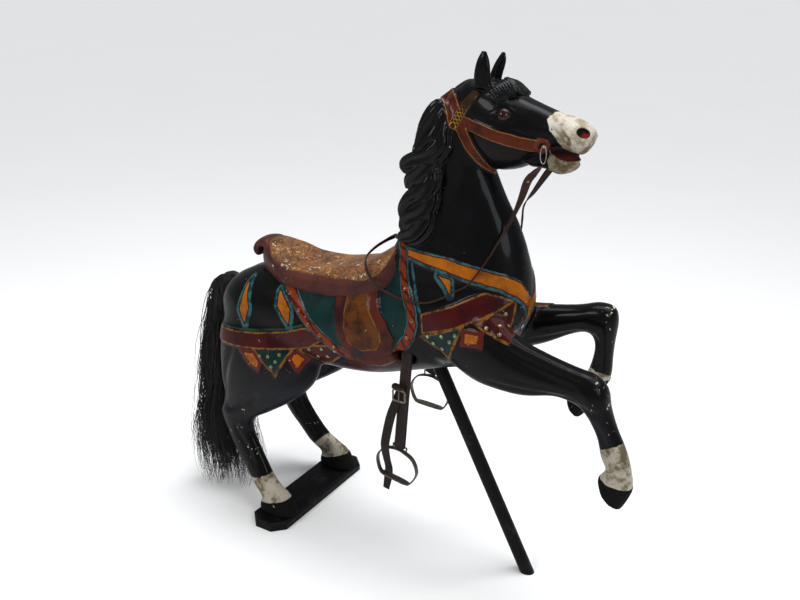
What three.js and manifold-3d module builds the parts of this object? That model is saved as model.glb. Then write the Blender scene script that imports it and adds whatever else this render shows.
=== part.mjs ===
// A carved and painted wooden carousel horse on its display stand.
// The horse prances on its hind hooves, which are fixed to a foot board. A straight prop pole
// runs from the belly forward to the floor. Iron stirrups hang on leather straps, leather reins
// run from the bit rings round the pommel, and the tail is a hank of real horsehair.
//
// Millimetres. +X is the way the horse faces, +Y is its left side, +Z is up.
// The origin is the middle of the foot board's underside, on the floor.
import * as THREE from "three";
import { ParametricGeometry } from "three/addons/geometries/ParametricGeometry.js";
import { mergeVertices } from "three/addons/utils/BufferGeometryUtils.js";
import Module from "manifold-3d";

const wasm = await Module();
wasm.setup();

// ---- driving dimensions ------------------------------------------------------------------
const GAP = 0.3; // between two pieces that touch

const BOARD_LENGTH = 512; // across the horse
const BOARD_WIDTH = 138;
const BOARD_THICKNESS = 28;
const BOARD_CORNER = 38; // cut off each corner
const BOARD_BEVEL = 5;

const POLE_RADIUS = 20.5;
const POLE_TOP = new THREE.Vector3(508, 0, 634); // where its middle enters the belly
const POLE_FOOT = new THREE.Vector3(835, 0, 0);
const POLE_SOCKET = 55; // how far it runs on inside the belly

const HOOF_Y = 172; // hind hoof centre from the middle of the board

const EYE_MIDDLE = new THREE.Vector3(722, 62, 1399);
const EYE_RADIUS = 19;

const HOOK_TOP = new THREE.Vector3(836, 62, 1330); // where the rein hook leaves the cheek
const HOOK_LENGTH = 46;
const HOOK_WIDTH = 16;
const HOOK_WIRE = 3;

const REIN_WIDTH = 18;
const REIN_THICKNESS = 4;

const LEATHER_WIDTH = 34;
const LEATHER_THICKNESS = 11; // two layers round the stirrup's eye
const SLOT_MIDDLE = new THREE.Vector3(475, 120, 697); // where the leather leaves the belly
const SLOT_DEPTH = 34;
const SLOT_ROOM = 38; // wider than the leather by this

const STIRRUP_WIDTH = 140; // across the widest part of the arch
const STIRRUP_HEIGHT = 112;
const STIRRUP_BAND = 16; // width of the flat iron
const STIRRUP_IRON = 5; // its thickness
const TREAD_DEPTH = 24;

// The right stirrup hangs low and the left one is hooked up higher.
const RIGHT_STIRRUP = { eye: [455, -132, 386], lean: 0.16, hand: -1 };
const LEFT_STIRRUP = { eye: [414, 130, 515], lean: 0.05, hand: 1 };

// ---- solids ------------------------------------------------------------------------------

function manifoldOf(positions, corners) {
  return new wasm.Manifold(
    new wasm.Mesh({ numProp: 3, vertProperties: positions, triVerts: new Uint32Array(corners) }),
  );
}

// A closed three.js geometry as a manifold-3d solid, with its faces turned outwards.
function solidOf(geometry) {
  const bare = geometry.index ? geometry.toNonIndexed() : geometry.clone();
  for (const name of Object.keys(bare.attributes)) {
    if (name !== "position") bare.deleteAttribute(name);
  }
  const merged = mergeVertices(bare, 1e-3);
  const index = merged.index.array;
  const kept = [];
  for (let i = 0; i < index.length; i += 3) {
    const [a, b, c] = [index[i], index[i + 1], index[i + 2]];
    if (a !== b && b !== c && c !== a) kept.push(a, b, c);
  }
  const positions = merged.attributes.position.array;
  const solid = manifoldOf(positions, kept);
  if (solid.volume() > 0) return solid;
  return manifoldOf(positions, kept.reverse());
}

function geometryOf(solid) {
  const mesh = solid.getMesh();
  const geometry = new THREE.BufferGeometry();
  geometry.setAttribute("position", new THREE.BufferAttribute(mesh.vertProperties, 3));
  geometry.setIndex(new THREE.BufferAttribute(mesh.triVerts, 1));
  geometry.computeVertexNormals();
  return geometry;
}

// The outside skin of a union, without the slivers sealed up where its masses meet.
function outerShell(solid) {
  const shells = solid.decompose().sort((a, b) => b.volume() - a.volume());
  return shells[0];
}

const joined = (solids) => solids.reduce((whole, solid) => whole.add(solid));

const curveThrough = (points) => new THREE.CatmullRomCurve3(points, false, "catmullrom", 0.5);

// Which ring of a lofted skin a row is. The first and last rows close the ends.
function ringOf(v, rings) {
  const row = Math.round(v * (rings + 2)) - 1;
  return { t: THREE.MathUtils.clamp(row / rings, 0, 1), reach: row < 0 || row > rings ? 0 : 1 };
}

const turnOf = (u, sides) => (Math.round(u * sides) % sides) * ((2 * Math.PI) / sides);

// A carved mass drawn by its two side outlines. Each station is
// [upper x, upper z, lower x, lower z, y of its middle, half width].
// squareness 1 gives an ellipse, and less gives a boxier section.
function mass(stations, { sides = 12, rows = 1, squareness = 0.9 } = {}) {
  const upper = curveThrough(stations.map((s) => new THREE.Vector3(s[0], 0, s[1])));
  const lower = curveThrough(stations.map((s) => new THREE.Vector3(s[2], 0, s[3])));
  const girth = curveThrough(stations.map((s, i) => new THREE.Vector3(i, s[4], s[5])));
  const rings = (stations.length - 1) * rows;
  const bend = (value) => Math.sign(value) * Math.abs(value) ** squareness;
  const skin = new ParametricGeometry(
    (u, v, target) => {
      const { t, reach } = ringOf(v, rings);
      const angle = turnOf(u, sides);
      const top = upper.getPoint(t);
      const bottom = lower.getPoint(t);
      const { y, z } = girth.getPoint(t);
      target.copy(top).lerp(bottom, 0.5);
      target.addScaledVector(top.sub(bottom), 0.5 * reach * bend(Math.cos(angle)));
      target.y = y + reach * z * bend(Math.sin(angle));
    },
    sides,
    rings + 2,
  );
  return solidOf(skin);
}

const mirrored = (stations) => stations.map(([ux, uz, lx, lz, y, half]) => [ux, uz, lx, lz, -y, half]);

// A tapering lock of carved hair along points of [x, y, z, radius]. flat thins it sideways.
function lock(points, flat = 0.6, sides = 7) {
  const path = curveThrough(points.map((p) => new THREE.Vector3(p[0], p[1], p[2])));
  const size = curveThrough(points.map((p, i) => new THREE.Vector3(i, p[3], 0)));
  const rings = (points.length - 1) * 2;
  const skin = new ParametricGeometry(
    (u, v, target) => {
      const { t, reach } = ringOf(v, rings);
      const angle = turnOf(u, sides);
      const radius = reach * size.getPoint(t).y;
      const along = path.getTangent(t);
      const across = new THREE.Vector3(-along.z, 0, along.x).normalize();
      target.copy(path.getPoint(t)).addScaledVector(across, radius * Math.cos(angle));
      target.y += radius * flat * Math.sin(angle);
    },
    sides,
    rings + 2,
  );
  return solidOf(skin);
}

// A flat strap along points of [x, y, z, outward x, outward y, outward z].
function strapAlong(points, width, thickness, rows = 2) {
  const path = curveThrough(points.map((p) => new THREE.Vector3(p[0], p[1], p[2])));
  const facing = curveThrough(points.map((p) => new THREE.Vector3(p[3], p[4], p[5])));
  const rings = (points.length - 1) * rows;
  const skin = new ParametricGeometry(
    (u, v, target) => {
      const { t, reach } = ringOf(v, rings);
      const corner = Math.round(u * 4) % 4;
      const along = path.getTangent(t);
      const outward = facing.getPoint(t).projectOnPlane(along).normalize();
      const across = new THREE.Vector3().crossVectors(along, outward);
      target.copy(path.getPoint(t));
      target.addScaledVector(across, (reach * width * (corner < 2 ? 1 : -1)) / 2);
      target.addScaledVector(outward, (reach * thickness * (corner % 3 ? 1 : -1)) / 2);
    },
    4,
    rings + 2,
  );
  return solidOf(skin);
}

// A bar that runs round a closed loop of points and joins its own start.
function ringBar(points, outwardHalf, sideHalf, side, sides = 8) {
  const count = points.length;
  const skin = new ParametricGeometry(
    (u, v, target) => {
      const i = Math.round(v * count) % count;
      const angle = turnOf(u, sides);
      const along = points[(i + 1) % count].clone().sub(points[(i + count - 1) % count]).normalize();
      const outward = new THREE.Vector3().crossVectors(along, side).normalize();
      target.copy(points[i]);
      target.addScaledVector(outward, outwardHalf * Math.cos(angle));
      target.addScaledVector(side, sideHalf * Math.sin(angle));
    },
    sides,
    count,
  );
  return solidOf(skin);
}

function cylinderBetween(from, to, radius, sides) {
  const length = from.distanceTo(to);
  const bar = new THREE.CylinderGeometry(radius, radius, length, sides);
  const turn = new THREE.Quaternion().setFromUnitVectors(
    new THREE.Vector3(0, 1, 0),
    to.clone().sub(from).normalize(),
  );
  const middle = from.clone().lerp(to, 0.5);
  bar.applyMatrix4(new THREE.Matrix4().compose(middle, turn, new THREE.Vector3(1, 1, 1)));
  return solidOf(bar);
}

const side = (point, hand) => new THREE.Vector3(point.x, hand * point.y, point.z);

// ---- the carved horse --------------------------------------------------------------------

const TRUNK = [
  [-275, 738, -262, 690, 0, 45],
  [-262, 770, -240, 610, 0, 98],
  [-215, 806, -178, 572, 0, 136],
  [-140, 838, -85, 565, 0, 158],
  [-50, 856, 15, 563, 0, 165],
  [60, 862, 120, 559, 0, 166],
  [165, 866, 230, 559, 0, 166],
  [270, 882, 340, 572, 0, 162],
  [375, 915, 450, 605, 0, 156],
  [470, 965, 560, 640, 0, 152],
  [570, 990, 655, 668, 0, 148],
  [675, 980, 732, 722, 0, 128],
  [755, 945, 778, 795, 0, 92],
  [792, 905, 796, 850, 0, 45],
];

const NECK = [
  [300, 900, 797, 840, 0, 128],
  [365, 975, 798, 922, 0, 122],
  [402, 1058, 778, 1010, 0, 104],
  [420, 1130, 749, 1086, 0, 88],
  [445, 1205, 710, 1155, 0, 77],
  [476, 1285, 680, 1215, 0, 70],
  [510, 1366, 666, 1250, 0, 66],
  [540, 1430, 686, 1288, 0, 62],
  [590, 1474, 705, 1330, 0, 50],
];

const HEAD = [
  [560, 1450, 628, 1306, 0, 46],
  [597, 1474, 650, 1262, 0, 66],
  [655, 1476, 690, 1247, 0, 80],
  [705, 1463, 728, 1250, 0, 82],
  [755, 1440, 766, 1262, 0, 73],
  [805, 1422, 806, 1280, 0, 60],
  [850, 1407, 848, 1306, 0, 53],
  [890, 1398, 890, 1313, 0, 50],
  [923, 1386, 920, 1317, 0, 48],
  [942, 1368, 938, 1334, 0, 33],
];

const LOWER_JAW = [
  [780, 1338, 785, 1264, 0, 44],
  [832, 1318, 828, 1263, 0, 41],
  [868, 1304, 860, 1254, 0, 38],
  [893, 1297, 887, 1256, 0, 33],
  [906, 1290, 903, 1268, 0, 20],
];

const HIND_LEG = [
  [40, 740, -200, 745, -92, 66],
  [112, 650, -238, 650, -104, 70],
  [152, 580, -244, 580, -118, 70],
  [134, 512, -240, 518, -130, 62],
  [58, 440, -234, 450, -138, 50],
  [-38, 376, -227, 392, -141, 40],
  [-104, 334, -240, 336, -144, 34],
  [-114, 292, -224, 280, -146, 30],
  [-86, 238, -190, 212, -150, 27],
  [-50, 182, -148, 160, -156, 27],
  [-26, 148, -110, 111, -162, 30],
  [4, 124, -82, 86, -168, 29],
  [34, 106, -62, 68, -171, 27],
  [42, 84, -60, 52, -172, 26],
];

const HIND_HOOF = [
  [40, 104, -60, 68, -HOOF_Y, 34],
  [56, 72, -64, 52, -HOOF_Y, 40],
  [74, BOARD_THICKNESS + GAP, -66, BOARD_THICKNESS + GAP, -HOOF_Y, 46],
];

const RIGHT_FORELEG = [
  [640, 880, 600, 700, -88, 56],
  [735, 872, 690, 668, -106, 58],
  [820, 826, 765, 666, -122, 53],
  [900, 804, 850, 670, -129, 47],
  [985, 786, 930, 692, -132, 42],
  [1045, 776, 985, 690, -133, 41],
  [1076, 745, 1020, 672, -133, 42],
  [1088, 698, 1040, 645, -133, 37],
  [1112, 640, 1058, 610, -133, 31],
  [1135, 598, 1067, 575, -133, 29],
  [1152, 556, 1074, 548, -133, 30],
  [1162, 510, 1095, 518, -133, 28],
  [1156, 486, 1090, 498, -133, 27],
];

const RIGHT_FORE_HOOF = [
  [1166, 506, 1090, 518, -133, 33],
  [1162, 468, 1073, 490, -133, 38],
  [1141, 416, 1084, 458, -133, 42],
];

const LEFT_FORELEG = [
  [650, 850, 620, 690, 88, 56],
  [735, 835, 725, 694, 108, 56],
  [812, 841, 800, 718, 121, 49],
  [893, 855, 870, 757, 128, 43],
  [945, 872, 922, 779, 130, 43],
  [994, 868, 940, 772, 130, 43],
  [1009, 832, 948, 745, 130, 38],
  [1006, 771, 945, 712, 130, 31],
  [1004, 716, 938, 682, 130, 28],
  [1005, 662, 930, 655, 130, 30],
  [990, 625, 918, 640, 130, 28],
  [972, 592, 908, 616, 130, 27],
];

const LEFT_FORE_HOOF = [
  [980, 606, 912, 634, 130, 33],
  [957, 556, 886, 598, 130, 39],
  [920, 506, 882, 558, 130, 43],
];

const SADDLE = [
  [-116, 905, -96, 800, 0, 48],
  [-92, 926, -60, 790, 0, 70],
  [-35, 919, -10, 785, 0, 100],
  [20, 898, 30, 785, 0, 117],
  [75, 893, 80, 785, 0, 123],
  [140, 896, 145, 785, 0, 125],
  [210, 910, 220, 790, 0, 126],
  [275, 927, 290, 795, 0, 126],
  [325, 954, 350, 810, 0, 124],
  [370, 985, 400, 850, 0, 116],
  [402, 1004, 440, 900, 0, 100],
];

// The cantle rolls over backwards into a curl.
const CANTLE = [
  [-30, 915, 0, 850, 0, 90],
  [-80, 932, -60, 880, 0, 62],
  [-120, 931, -100, 900, 0, 46],
  [-150, 917, -122, 898, 0, 40],
  [-167, 894, -136, 889, 0, 38],
  [-158, 871, -138, 881, 0, 37],
  [-142, 867, -140, 876, 0, 34],
];

const MANE = [
  [
    [590, -16, 1456, 18],
    [550, -42, 1408, 32],
    [518, -62, 1350, 39],
    [504, -72, 1298, 37],
    [468, -80, 1260, 27],
    [438, -84, 1254, 15],
  ],
  [
    [580, -40, 1425, 22],
    [558, -62, 1365, 34],
    [546, -74, 1305, 34],
    [528, -84, 1258, 26],
    [500, -90, 1236, 12],
  ],
  [
    [540, -30, 1330, 30],
    [522, -60, 1265, 38],
    [502, -80, 1222, 38],
    [474, -90, 1194, 30],
    [456, -92, 1192, 12],
  ],
  [
    [505, -40, 1250, 34],
    [522, -84, 1205, 34],
    [505, -98, 1155, 42],
    [484, -104, 1105, 40],
    [470, -106, 1065, 34],
    [452, -104, 1046, 20],
  ],
  [
    [475, -30, 1200, 34],
    [468, -60, 1150, 40],
    [464, -84, 1105, 40],
    [466, -98, 1062, 34],
    [474, -108, 1030, 18],
  ],
  [
    [545, -80, 1180, 22],
    [536, -100, 1120, 32],
    [522, -112, 1070, 34],
    [500, -116, 1040, 28],
    [482, -114, 1032, 14],
  ],
];

const FORELOCK = [
  [
    [655, -30, 1462, 14],
    [688, -50, 1456, 18],
    [718, -64, 1438, 17],
    [734, -70, 1425, 9],
  ],
  [
    [660, -8, 1464, 14],
    [698, -16, 1460, 17],
    [730, -24, 1448, 15],
    [750, -28, 1434, 9],
  ],
  [
    [655, 30, 1462, 14],
    [688, 48, 1454, 18],
    [716, 62, 1436, 16],
    [732, 68, 1423, 9],
  ],
];

const EAR = [[642, 44, 1460, 24], [642, 46, 1490, 22], [645, 47, 1520, 17], [650, 47, 1545, 5]];

const otherSide = (points) => points.map(([x, y, z, radius]) => [x, -y, z, radius]);

// The pole's own length, or a socket that clears it all round.
function poleSolid(clearance) {
  const along = POLE_TOP.clone().sub(POLE_FOOT).normalize();
  const top = POLE_TOP.clone().addScaledVector(along, POLE_SOCKET + clearance);
  const below = POLE_FOOT.clone().addScaledVector(along, -3 * POLE_RADIUS);
  const bar = cylinderBetween(below, top, POLE_RADIUS + clearance, 24);
  const air = new THREE.BoxGeometry(1000, 200, 1000).translate(POLE_FOOT.x - 300, 0, 500);
  return bar.intersect(solidOf(air));
}

function eyeSolid(hand, clearance) {
  const ball = new THREE.SphereGeometry(EYE_RADIUS + clearance, 12, 8);
  const middle = side(EYE_MIDDLE, hand);
  return solidOf(ball.translate(middle.x, middle.y, middle.z));
}

// The belly is cut away where each stirrup leather comes out.
function leatherSlot(hand) {
  const slot = new THREE.BoxGeometry(LEATHER_WIDTH + SLOT_ROOM, SLOT_DEPTH, 90);
  return solidOf(slot.translate(SLOT_MIDDLE.x - 4, hand * SLOT_MIDDLE.y, SLOT_MIDDLE.z - 10));
}

function hookPeg(hand, clearance) {
  const out = side(HOOK_TOP, hand);
  const inside = out.clone().setY(hand * (HOOK_TOP.y - 26 - clearance));
  return cylinderBetween(inside, out, HOOK_WIRE + clearance, 8);
}

function carvedHorse() {
  const carved = joined([
    mass(TRUNK, { sides: 20 }),
    mass(NECK, { sides: 16 }),
    mass(HEAD, { sides: 14 }),
    mass(LOWER_JAW, { sides: 10 }),
    mass(SADDLE, { sides: 20, squareness: 0.75 }),
    mass(CANTLE),
    mass(RIGHT_FORELEG),
    mass(RIGHT_FORE_HOOF),
    mass(LEFT_FORELEG),
    mass(LEFT_FORE_HOOF),
    ...[HIND_LEG, mirrored(HIND_LEG)].map((leg) => mass(leg)),
    ...[HIND_HOOF, mirrored(HIND_HOOF)].map((hoof) => mass(hoof)),
    ...[...MANE, ...FORELOCK].map((points) => lock(points)),
    ...[EAR, otherSide(EAR)].map((points) => lock(points, 0.6, 6)),
  ]);
  const cuts = [-1, 1].flatMap((hand) => [
    eyeSolid(hand, GAP),
    leatherSlot(hand),
    hookPeg(hand, GAP),
  ]);
  const floorOfHooves = new THREE.BoxGeometry(400, 800, 400);
  floorOfHooves.translate(0, 0, BOARD_THICKNESS + GAP - 200);
  const hollows = joined([...cuts, poleSolid(GAP), tailSolid(GAP), solidOf(floorOfHooves)]);
  return outerShell(carved.subtract(hollows));
}

// ---- the stand ---------------------------------------------------------------------------

function footBoard() {
  const [x, y, c] = [BOARD_WIDTH / 2 - BOARD_BEVEL, BOARD_LENGTH / 2 - BOARD_BEVEL, BOARD_CORNER];
  const outline = new THREE.Shape();
  outline.moveTo(-x, -y + c);
  outline.lineTo(-x + c, -y);
  outline.lineTo(x - c, -y);
  outline.lineTo(x, -y + c);
  outline.lineTo(x, y - c);
  outline.lineTo(x - c, y);
  outline.lineTo(-x + c, y);
  outline.lineTo(-x, y - c);
  outline.closePath();
  const slab = new THREE.ExtrudeGeometry(outline, {
    depth: BOARD_THICKNESS - BOARD_BEVEL,
    bevelThickness: BOARD_BEVEL,
    bevelSize: BOARD_BEVEL,
    bevelSegments: 1,
  });
  const above = new THREE.BoxGeometry(1000, 1000, 200).translate(0, 0, 100);
  return solidOf(slab).intersect(solidOf(above));
}

// ---- hair --------------------------------------------------------------------------------

// The hank leaves a hole in the rump, and swings a little to the right as it falls.
const TAIL = [
  [-246, -4, 752, 16],
  [-282, -6, 762, 24],
  [-314, -14, 738, 40],
  [-336, -30, 660, 60],
  [-344, -52, 520, 78],
  [-343, -76, 360, 90],
  [-332, -98, 220, 98],
  [-318, -113, 110, 103],
  [-304, -119, 16, 92],
];

function tailSolid(clearance) {
  return lock(TAIL.map(([x, y, z, radius]) => [x, y, z, radius + clearance]), 0.7, 10);
}

// ---- tack --------------------------------------------------------------------------------

function reinHook(hand) {
  const top = side(HOOK_TOP, hand);
  const loop = [];
  for (let i = 0; i < 16; i += 1) {
    const angle = (i / 16) * 2 * Math.PI;
    loop.push(
      new THREE.Vector3(
        top.x + (HOOK_WIDTH / 2) * Math.sin(angle),
        top.y + hand * (HOOK_WIRE + 1),
        top.z - HOOK_LENGTH / 2 + 4 + (HOOK_LENGTH / 2) * Math.cos(angle),
      ),
    );
  }
  const link = ringBar(loop, HOOK_WIRE / 2, HOOK_WIRE / 2, new THREE.Vector3(0, 1, 0), 6);
  const out = top.clone().setY(top.y + hand * (HOOK_WIRE + 3));
  return joined([link, hookPeg(hand, 0), cylinderBetween(top, out, HOOK_WIRE, 8)]);
}

// The reins are one strap. On each side it falls from the hook to the front of the neck. From
// there it crosses the shoulder and comes up round the back of the pommel. Each point is
// [x, y, z, outward x, outward y, outward z].
const REIN_FALL_RIGHT = [
  [833, -67, 1282, 1, 0, 0.6],
  [802, -66, 1248, 1, 0, 0.5],
  [780, -60, 1190, 0.95, -0.2, 0.3],
  [756, -50, 1138, 0.9, -0.4, 0.3],
  [740, -58, 1100, 0.66, -0.7, 0.3],
];
const REIN_FALL_LEFT = [
  [833, 67, 1282, 1, 0, 0.6],
  [796, 63, 1246, 1, 0, 0.5],
  [768, 56, 1195, 0.95, 0.2, 0.3],
  [742, 50, 1152, 0.9, 0.4, 0.3],
  [733, 62, 1105, 0.66, 0.7, 0.3],
];
const REIN_ON_SHOULDER = [
  [724, 78, 1060, 0.6, 0.75, 0.25],
  [706, 97, 1018, 0.36, 0.9, 0.2],
  [668, 123, 951, 0.12, 0.98, 0.19],
  [627, 136, 922, 0.14, 0.9, 0.43],
  [588, 149, 897, 0, 0.92, 0.38],
  [542, 152, 880, -0.07, 0.92, 0.39],
  [474, 146, 875, -0.15, 0.92, 0.37],
  [412, 136, 886, -0.2, 0.85, 0.5],
  [371, 134, 906, -0.3, 0.95, 0.1],
  [343, 126, 936, -0.6, 0.75, 0.4],
  [322, 98, 960, -0.9, 0.3, 0.4],
  [328, 60, 978, -0.95, 0, 0.3],
  [346, 27, 995, -1, 0, 0.2],
];
const REIN_BEHIND_NECK = [354, 0, 1000, -1, 0, 0.1];

function reins() {
  const right = REIN_ON_SHOULDER.map(([x, y, z, ox, oy, oz]) => [x, -y, z, ox, -oy, oz]);
  const route = [
    ...REIN_FALL_RIGHT,
    ...right,
    REIN_BEHIND_NECK,
    ...[...REIN_FALL_LEFT, ...REIN_ON_SHOULDER].reverse(),
  ];
  return strapAlong(route, REIN_WIDTH, REIN_THICKNESS);
}

// A piece drawn about the stirrup's eye, tilted as that stirrup hangs.
function hung(solid, { eye, lean }) {
  const pose = new THREE.Matrix4().makeRotationY(lean);
  pose.setPosition(...eye);
  return solid.transform(pose.elements);
}

function stirrupEye(clearance) {
  const [half, rise] = [LEATHER_WIDTH / 2 + 6, 9];
  const loop = curveThrough([
    new THREE.Vector3(-half, 0, 0),
    new THREE.Vector3(-half + 3, 0, rise),
    new THREE.Vector3(half - 3, 0, rise),
    new THREE.Vector3(half, 0, 0),
    new THREE.Vector3(half - 3, 0, -rise),
    new THREE.Vector3(-half + 3, 0, -rise),
  ]);
  loop.closed = true;
  const wire = STIRRUP_IRON / 2 + clearance;
  return ringBar(loop.getSpacedPoints(14).slice(0, 14), wire, wire, new THREE.Vector3(0, 1, 0), 6);
}

// A flat iron arch with a wider tread, and an eye for the leather on top.
function stirrup(hanging) {
  const [w, h] = [STIRRUP_WIDTH / 2, STIRRUP_HEIGHT];
  const arch = curveThrough(
    [
      [-0.2 * w, -8],
      [0.2 * w, -8],
      [0.72 * w, -0.2 * h],
      [w, -0.55 * h],
      [0.76 * w, -0.96 * h],
      [0.4 * w, -h],
      [-0.4 * w, -h],
      [-0.76 * w, -0.96 * h],
      [-w, -0.55 * h],
      [-0.72 * w, -0.2 * h],
    ].map(([x, z]) => new THREE.Vector3(x, 0, z)),
  );
  arch.closed = true;
  const band = ringBar(
    arch.getSpacedPoints(26).slice(0, 26),
    STIRRUP_IRON / 2,
    STIRRUP_BAND / 2,
    new THREE.Vector3(0, 1, 0),
    6,
  );
  const tread = new THREE.BoxGeometry(1.4 * w, TREAD_DEPTH, STIRRUP_IRON + 1).translate(0, 0, -h);
  return hung(joined([band, solidOf(tread), stirrupEye(0)]), hanging);
}

// The doubled strap from the slot in the belly down through the stirrup's eye.
function leather(hanging) {
  const [x, y, z] = hanging.eye;
  const { hand } = hanging;
  const top = [SLOT_MIDDLE.x, hand * SLOT_MIDDLE.y, SLOT_MIDDLE.z + 28, 0, hand, 0];
  const bottom = [x, y, z, 0, hand, 0];
  const along = (t) => top.map((value, i) => value + t * (bottom[i] - value));
  const strap = strapAlong([0, 0.33, 0.66, 1].map(along), LEATHER_WIDTH, LEATHER_THICKNESS, 2);
  return strap.subtract(hung(stirrupEye(GAP + 0.2), hanging));
}

// The spare end of the right leather hangs past the buckle and through the stirrup.
const SPARE_END = [
  [455, -131, 575, 0.3, -1, 0],
  [446, -136, 545, 0.3, -1, 0],
  [430, -145, 490, 0.3, -1, 0],
  [416, -150, 415, 0.2, -1, 0],
  [412, -148, 382, 0.1, -1, 0],
  [408, -132, 335, 0, -1, 0],
  [403, -112, 290, 0, -1, 0],
  [396, -106, 250, 0, -1, 0],
  [389, -106, 208, 0, -1, 0],
];

function buckle({ hand }) {
  const outer = new THREE.BoxGeometry(44, 4, 38);
  const inner = new THREE.BoxGeometry(32, 10, 26);
  const frame = solidOf(outer).subtract(solidOf(inner));
  const [x, y, z] = hand < 0 ? [459, -144, 568] : [446, 134.5, 620];
  return frame.translate([x, y, z]);
}

// ---- assembly ----------------------------------------------------------------------------

const group = new THREE.Group();

function place(name, solid, color, roughness, metalness = 0) {
  const material = new THREE.MeshStandardMaterial({ color, roughness, metalness });
  const mesh = new THREE.Mesh(geometryOf(solid), material);
  mesh.name = name;
  group.add(mesh);
}

place("horse", carvedHorse(), 0x17171a, 0.3);
place("foot_board", footBoard(), 0x1c1c1e, 0.5);
place("prop_pole", poleSolid(0), 0x141416, 0.4);
place("tail", tailSolid(0), 0x16130f, 0.7);
place("eye_right", eyeSolid(-1, 0), 0x2a1408, 0.1);
place("eye_left", eyeSolid(1, 0), 0x2a1408, 0.1);
place("rein_hook_right", reinHook(-1), 0x6b6660, 0.5, 0.9);
place("rein_hook_left", reinHook(1), 0x6b6660, 0.5, 0.9);
place("reins", reins(), 0x3a2218, 0.6);
place("stirrup_right", stirrup(RIGHT_STIRRUP), 0x4a4540, 0.5, 0.9);
place("stirrup_left", stirrup(LEFT_STIRRUP), 0x4a4540, 0.5, 0.9);
const spareEnd = strapAlong(SPARE_END, 28, 4, 2);
place("leather_right", leather(RIGHT_STIRRUP).add(spareEnd), 0x2e211b, 0.6);
place("leather_left", leather(LEFT_STIRRUP), 0x2e211b, 0.6);
place("buckle_right", buckle(RIGHT_STIRRUP), 0x4a4540, 0.5, 0.9);
place("buckle_left", buckle(LEFT_STIRRUP), 0x4a4540, 0.5, 0.9);

export default group;
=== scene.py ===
import math

import bmesh
import bpy
import numpy as np
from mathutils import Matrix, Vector


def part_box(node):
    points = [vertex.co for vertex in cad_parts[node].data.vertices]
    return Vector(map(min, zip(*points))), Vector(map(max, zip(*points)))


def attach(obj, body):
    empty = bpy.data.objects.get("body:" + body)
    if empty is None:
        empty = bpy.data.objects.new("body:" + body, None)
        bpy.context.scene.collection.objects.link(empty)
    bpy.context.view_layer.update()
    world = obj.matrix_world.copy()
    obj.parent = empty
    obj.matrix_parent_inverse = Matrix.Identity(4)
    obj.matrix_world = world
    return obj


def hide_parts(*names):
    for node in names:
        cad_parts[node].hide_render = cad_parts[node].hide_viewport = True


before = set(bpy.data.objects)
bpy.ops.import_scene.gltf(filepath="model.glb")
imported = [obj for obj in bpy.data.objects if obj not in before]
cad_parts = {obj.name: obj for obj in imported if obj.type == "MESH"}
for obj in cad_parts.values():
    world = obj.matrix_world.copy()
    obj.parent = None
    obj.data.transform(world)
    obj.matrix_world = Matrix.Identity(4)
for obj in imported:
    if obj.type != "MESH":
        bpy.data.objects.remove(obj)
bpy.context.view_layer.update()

bl_info = {"name": "Carved Carousel Horse", "version": (1, 0, 0), "blender": (4, 5, 0),
    "location": "View3D > Sidebar > Carousel Horse",
    "description": "Makes the finished surfaces of a carved, painted carousel horse on its stand",
    "category": "Object"}

MM = 0.001  # the carving is laid out in millimetres, and every mesh is in metres
RIGHT, LEFT = -1, 1  # the side of the horse that a thing is on
STATION_ROWS = 6  # rings from one station of a mass to the next
FAR_OUT = -60  # stands for a distance well outside an outline


# ---- layout of the carving, in millimetres ----
# Each station of a mass is [upper x, upper z, lower x, lower z, y of its middle, half width].

TRUNK = [[-275, 738, -262, 690, 0, 45], [-262, 770, -240, 610, 0, 98],
    [-215, 806, -178, 572, 0, 136], [-140, 838, -85, 565, 0, 158], [-50, 856, 15, 563, 0, 165],
    [60, 862, 120, 559, 0, 166], [165, 866, 230, 559, 0, 166], [270, 882, 340, 572, 0, 162],
    [375, 915, 450, 605, 0, 156], [470, 965, 560, 640, 0, 152], [570, 990, 655, 668, 0, 148],
    [675, 980, 732, 722, 0, 128], [755, 945, 778, 795, 0, 92], [792, 905, 796, 850, 0, 45]]
NECK = [[300, 900, 797, 840, 0, 128], [365, 975, 798, 922, 0, 122], [402, 1058, 778, 1010, 0, 104],
    [420, 1130, 749, 1086, 0, 88], [445, 1205, 710, 1155, 0, 77], [476, 1285, 680, 1215, 0, 70],
    [510, 1366, 666, 1250, 0, 66], [540, 1430, 686, 1288, 0, 62], [590, 1474, 705, 1330, 0, 50]]
HEAD = [[560, 1450, 628, 1306, 0, 46], [597, 1474, 650, 1262, 0, 66], [655, 1476, 690, 1247, 0, 80],
    [705, 1463, 728, 1250, 0, 82], [755, 1440, 766, 1262, 0, 73], [805, 1422, 806, 1286, 0, 60],
    [850, 1407, 848, 1322, 0, 53], [890, 1398, 888, 1319, 0, 50], [923, 1386, 917, 1309, 0, 47],
    [942, 1368, 935, 1328, 0, 33]]
LOWER_JAW = [[780, 1322, 785, 1264, 0, 44], [832, 1309, 828, 1263, 0, 41],
    [866, 1297, 858, 1253, 0, 38], [890, 1287, 884, 1258, 0, 33], [907, 1284, 902, 1268, 0, 21]]
TEETH = [[800, 1350, 800, 1286, 0, 24], [850, 1350, 850, 1286, 0, 28],
    [895, 1350, 893, 1288, 0, 24], [908, 1342, 904, 1300, 0, 10]]
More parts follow.
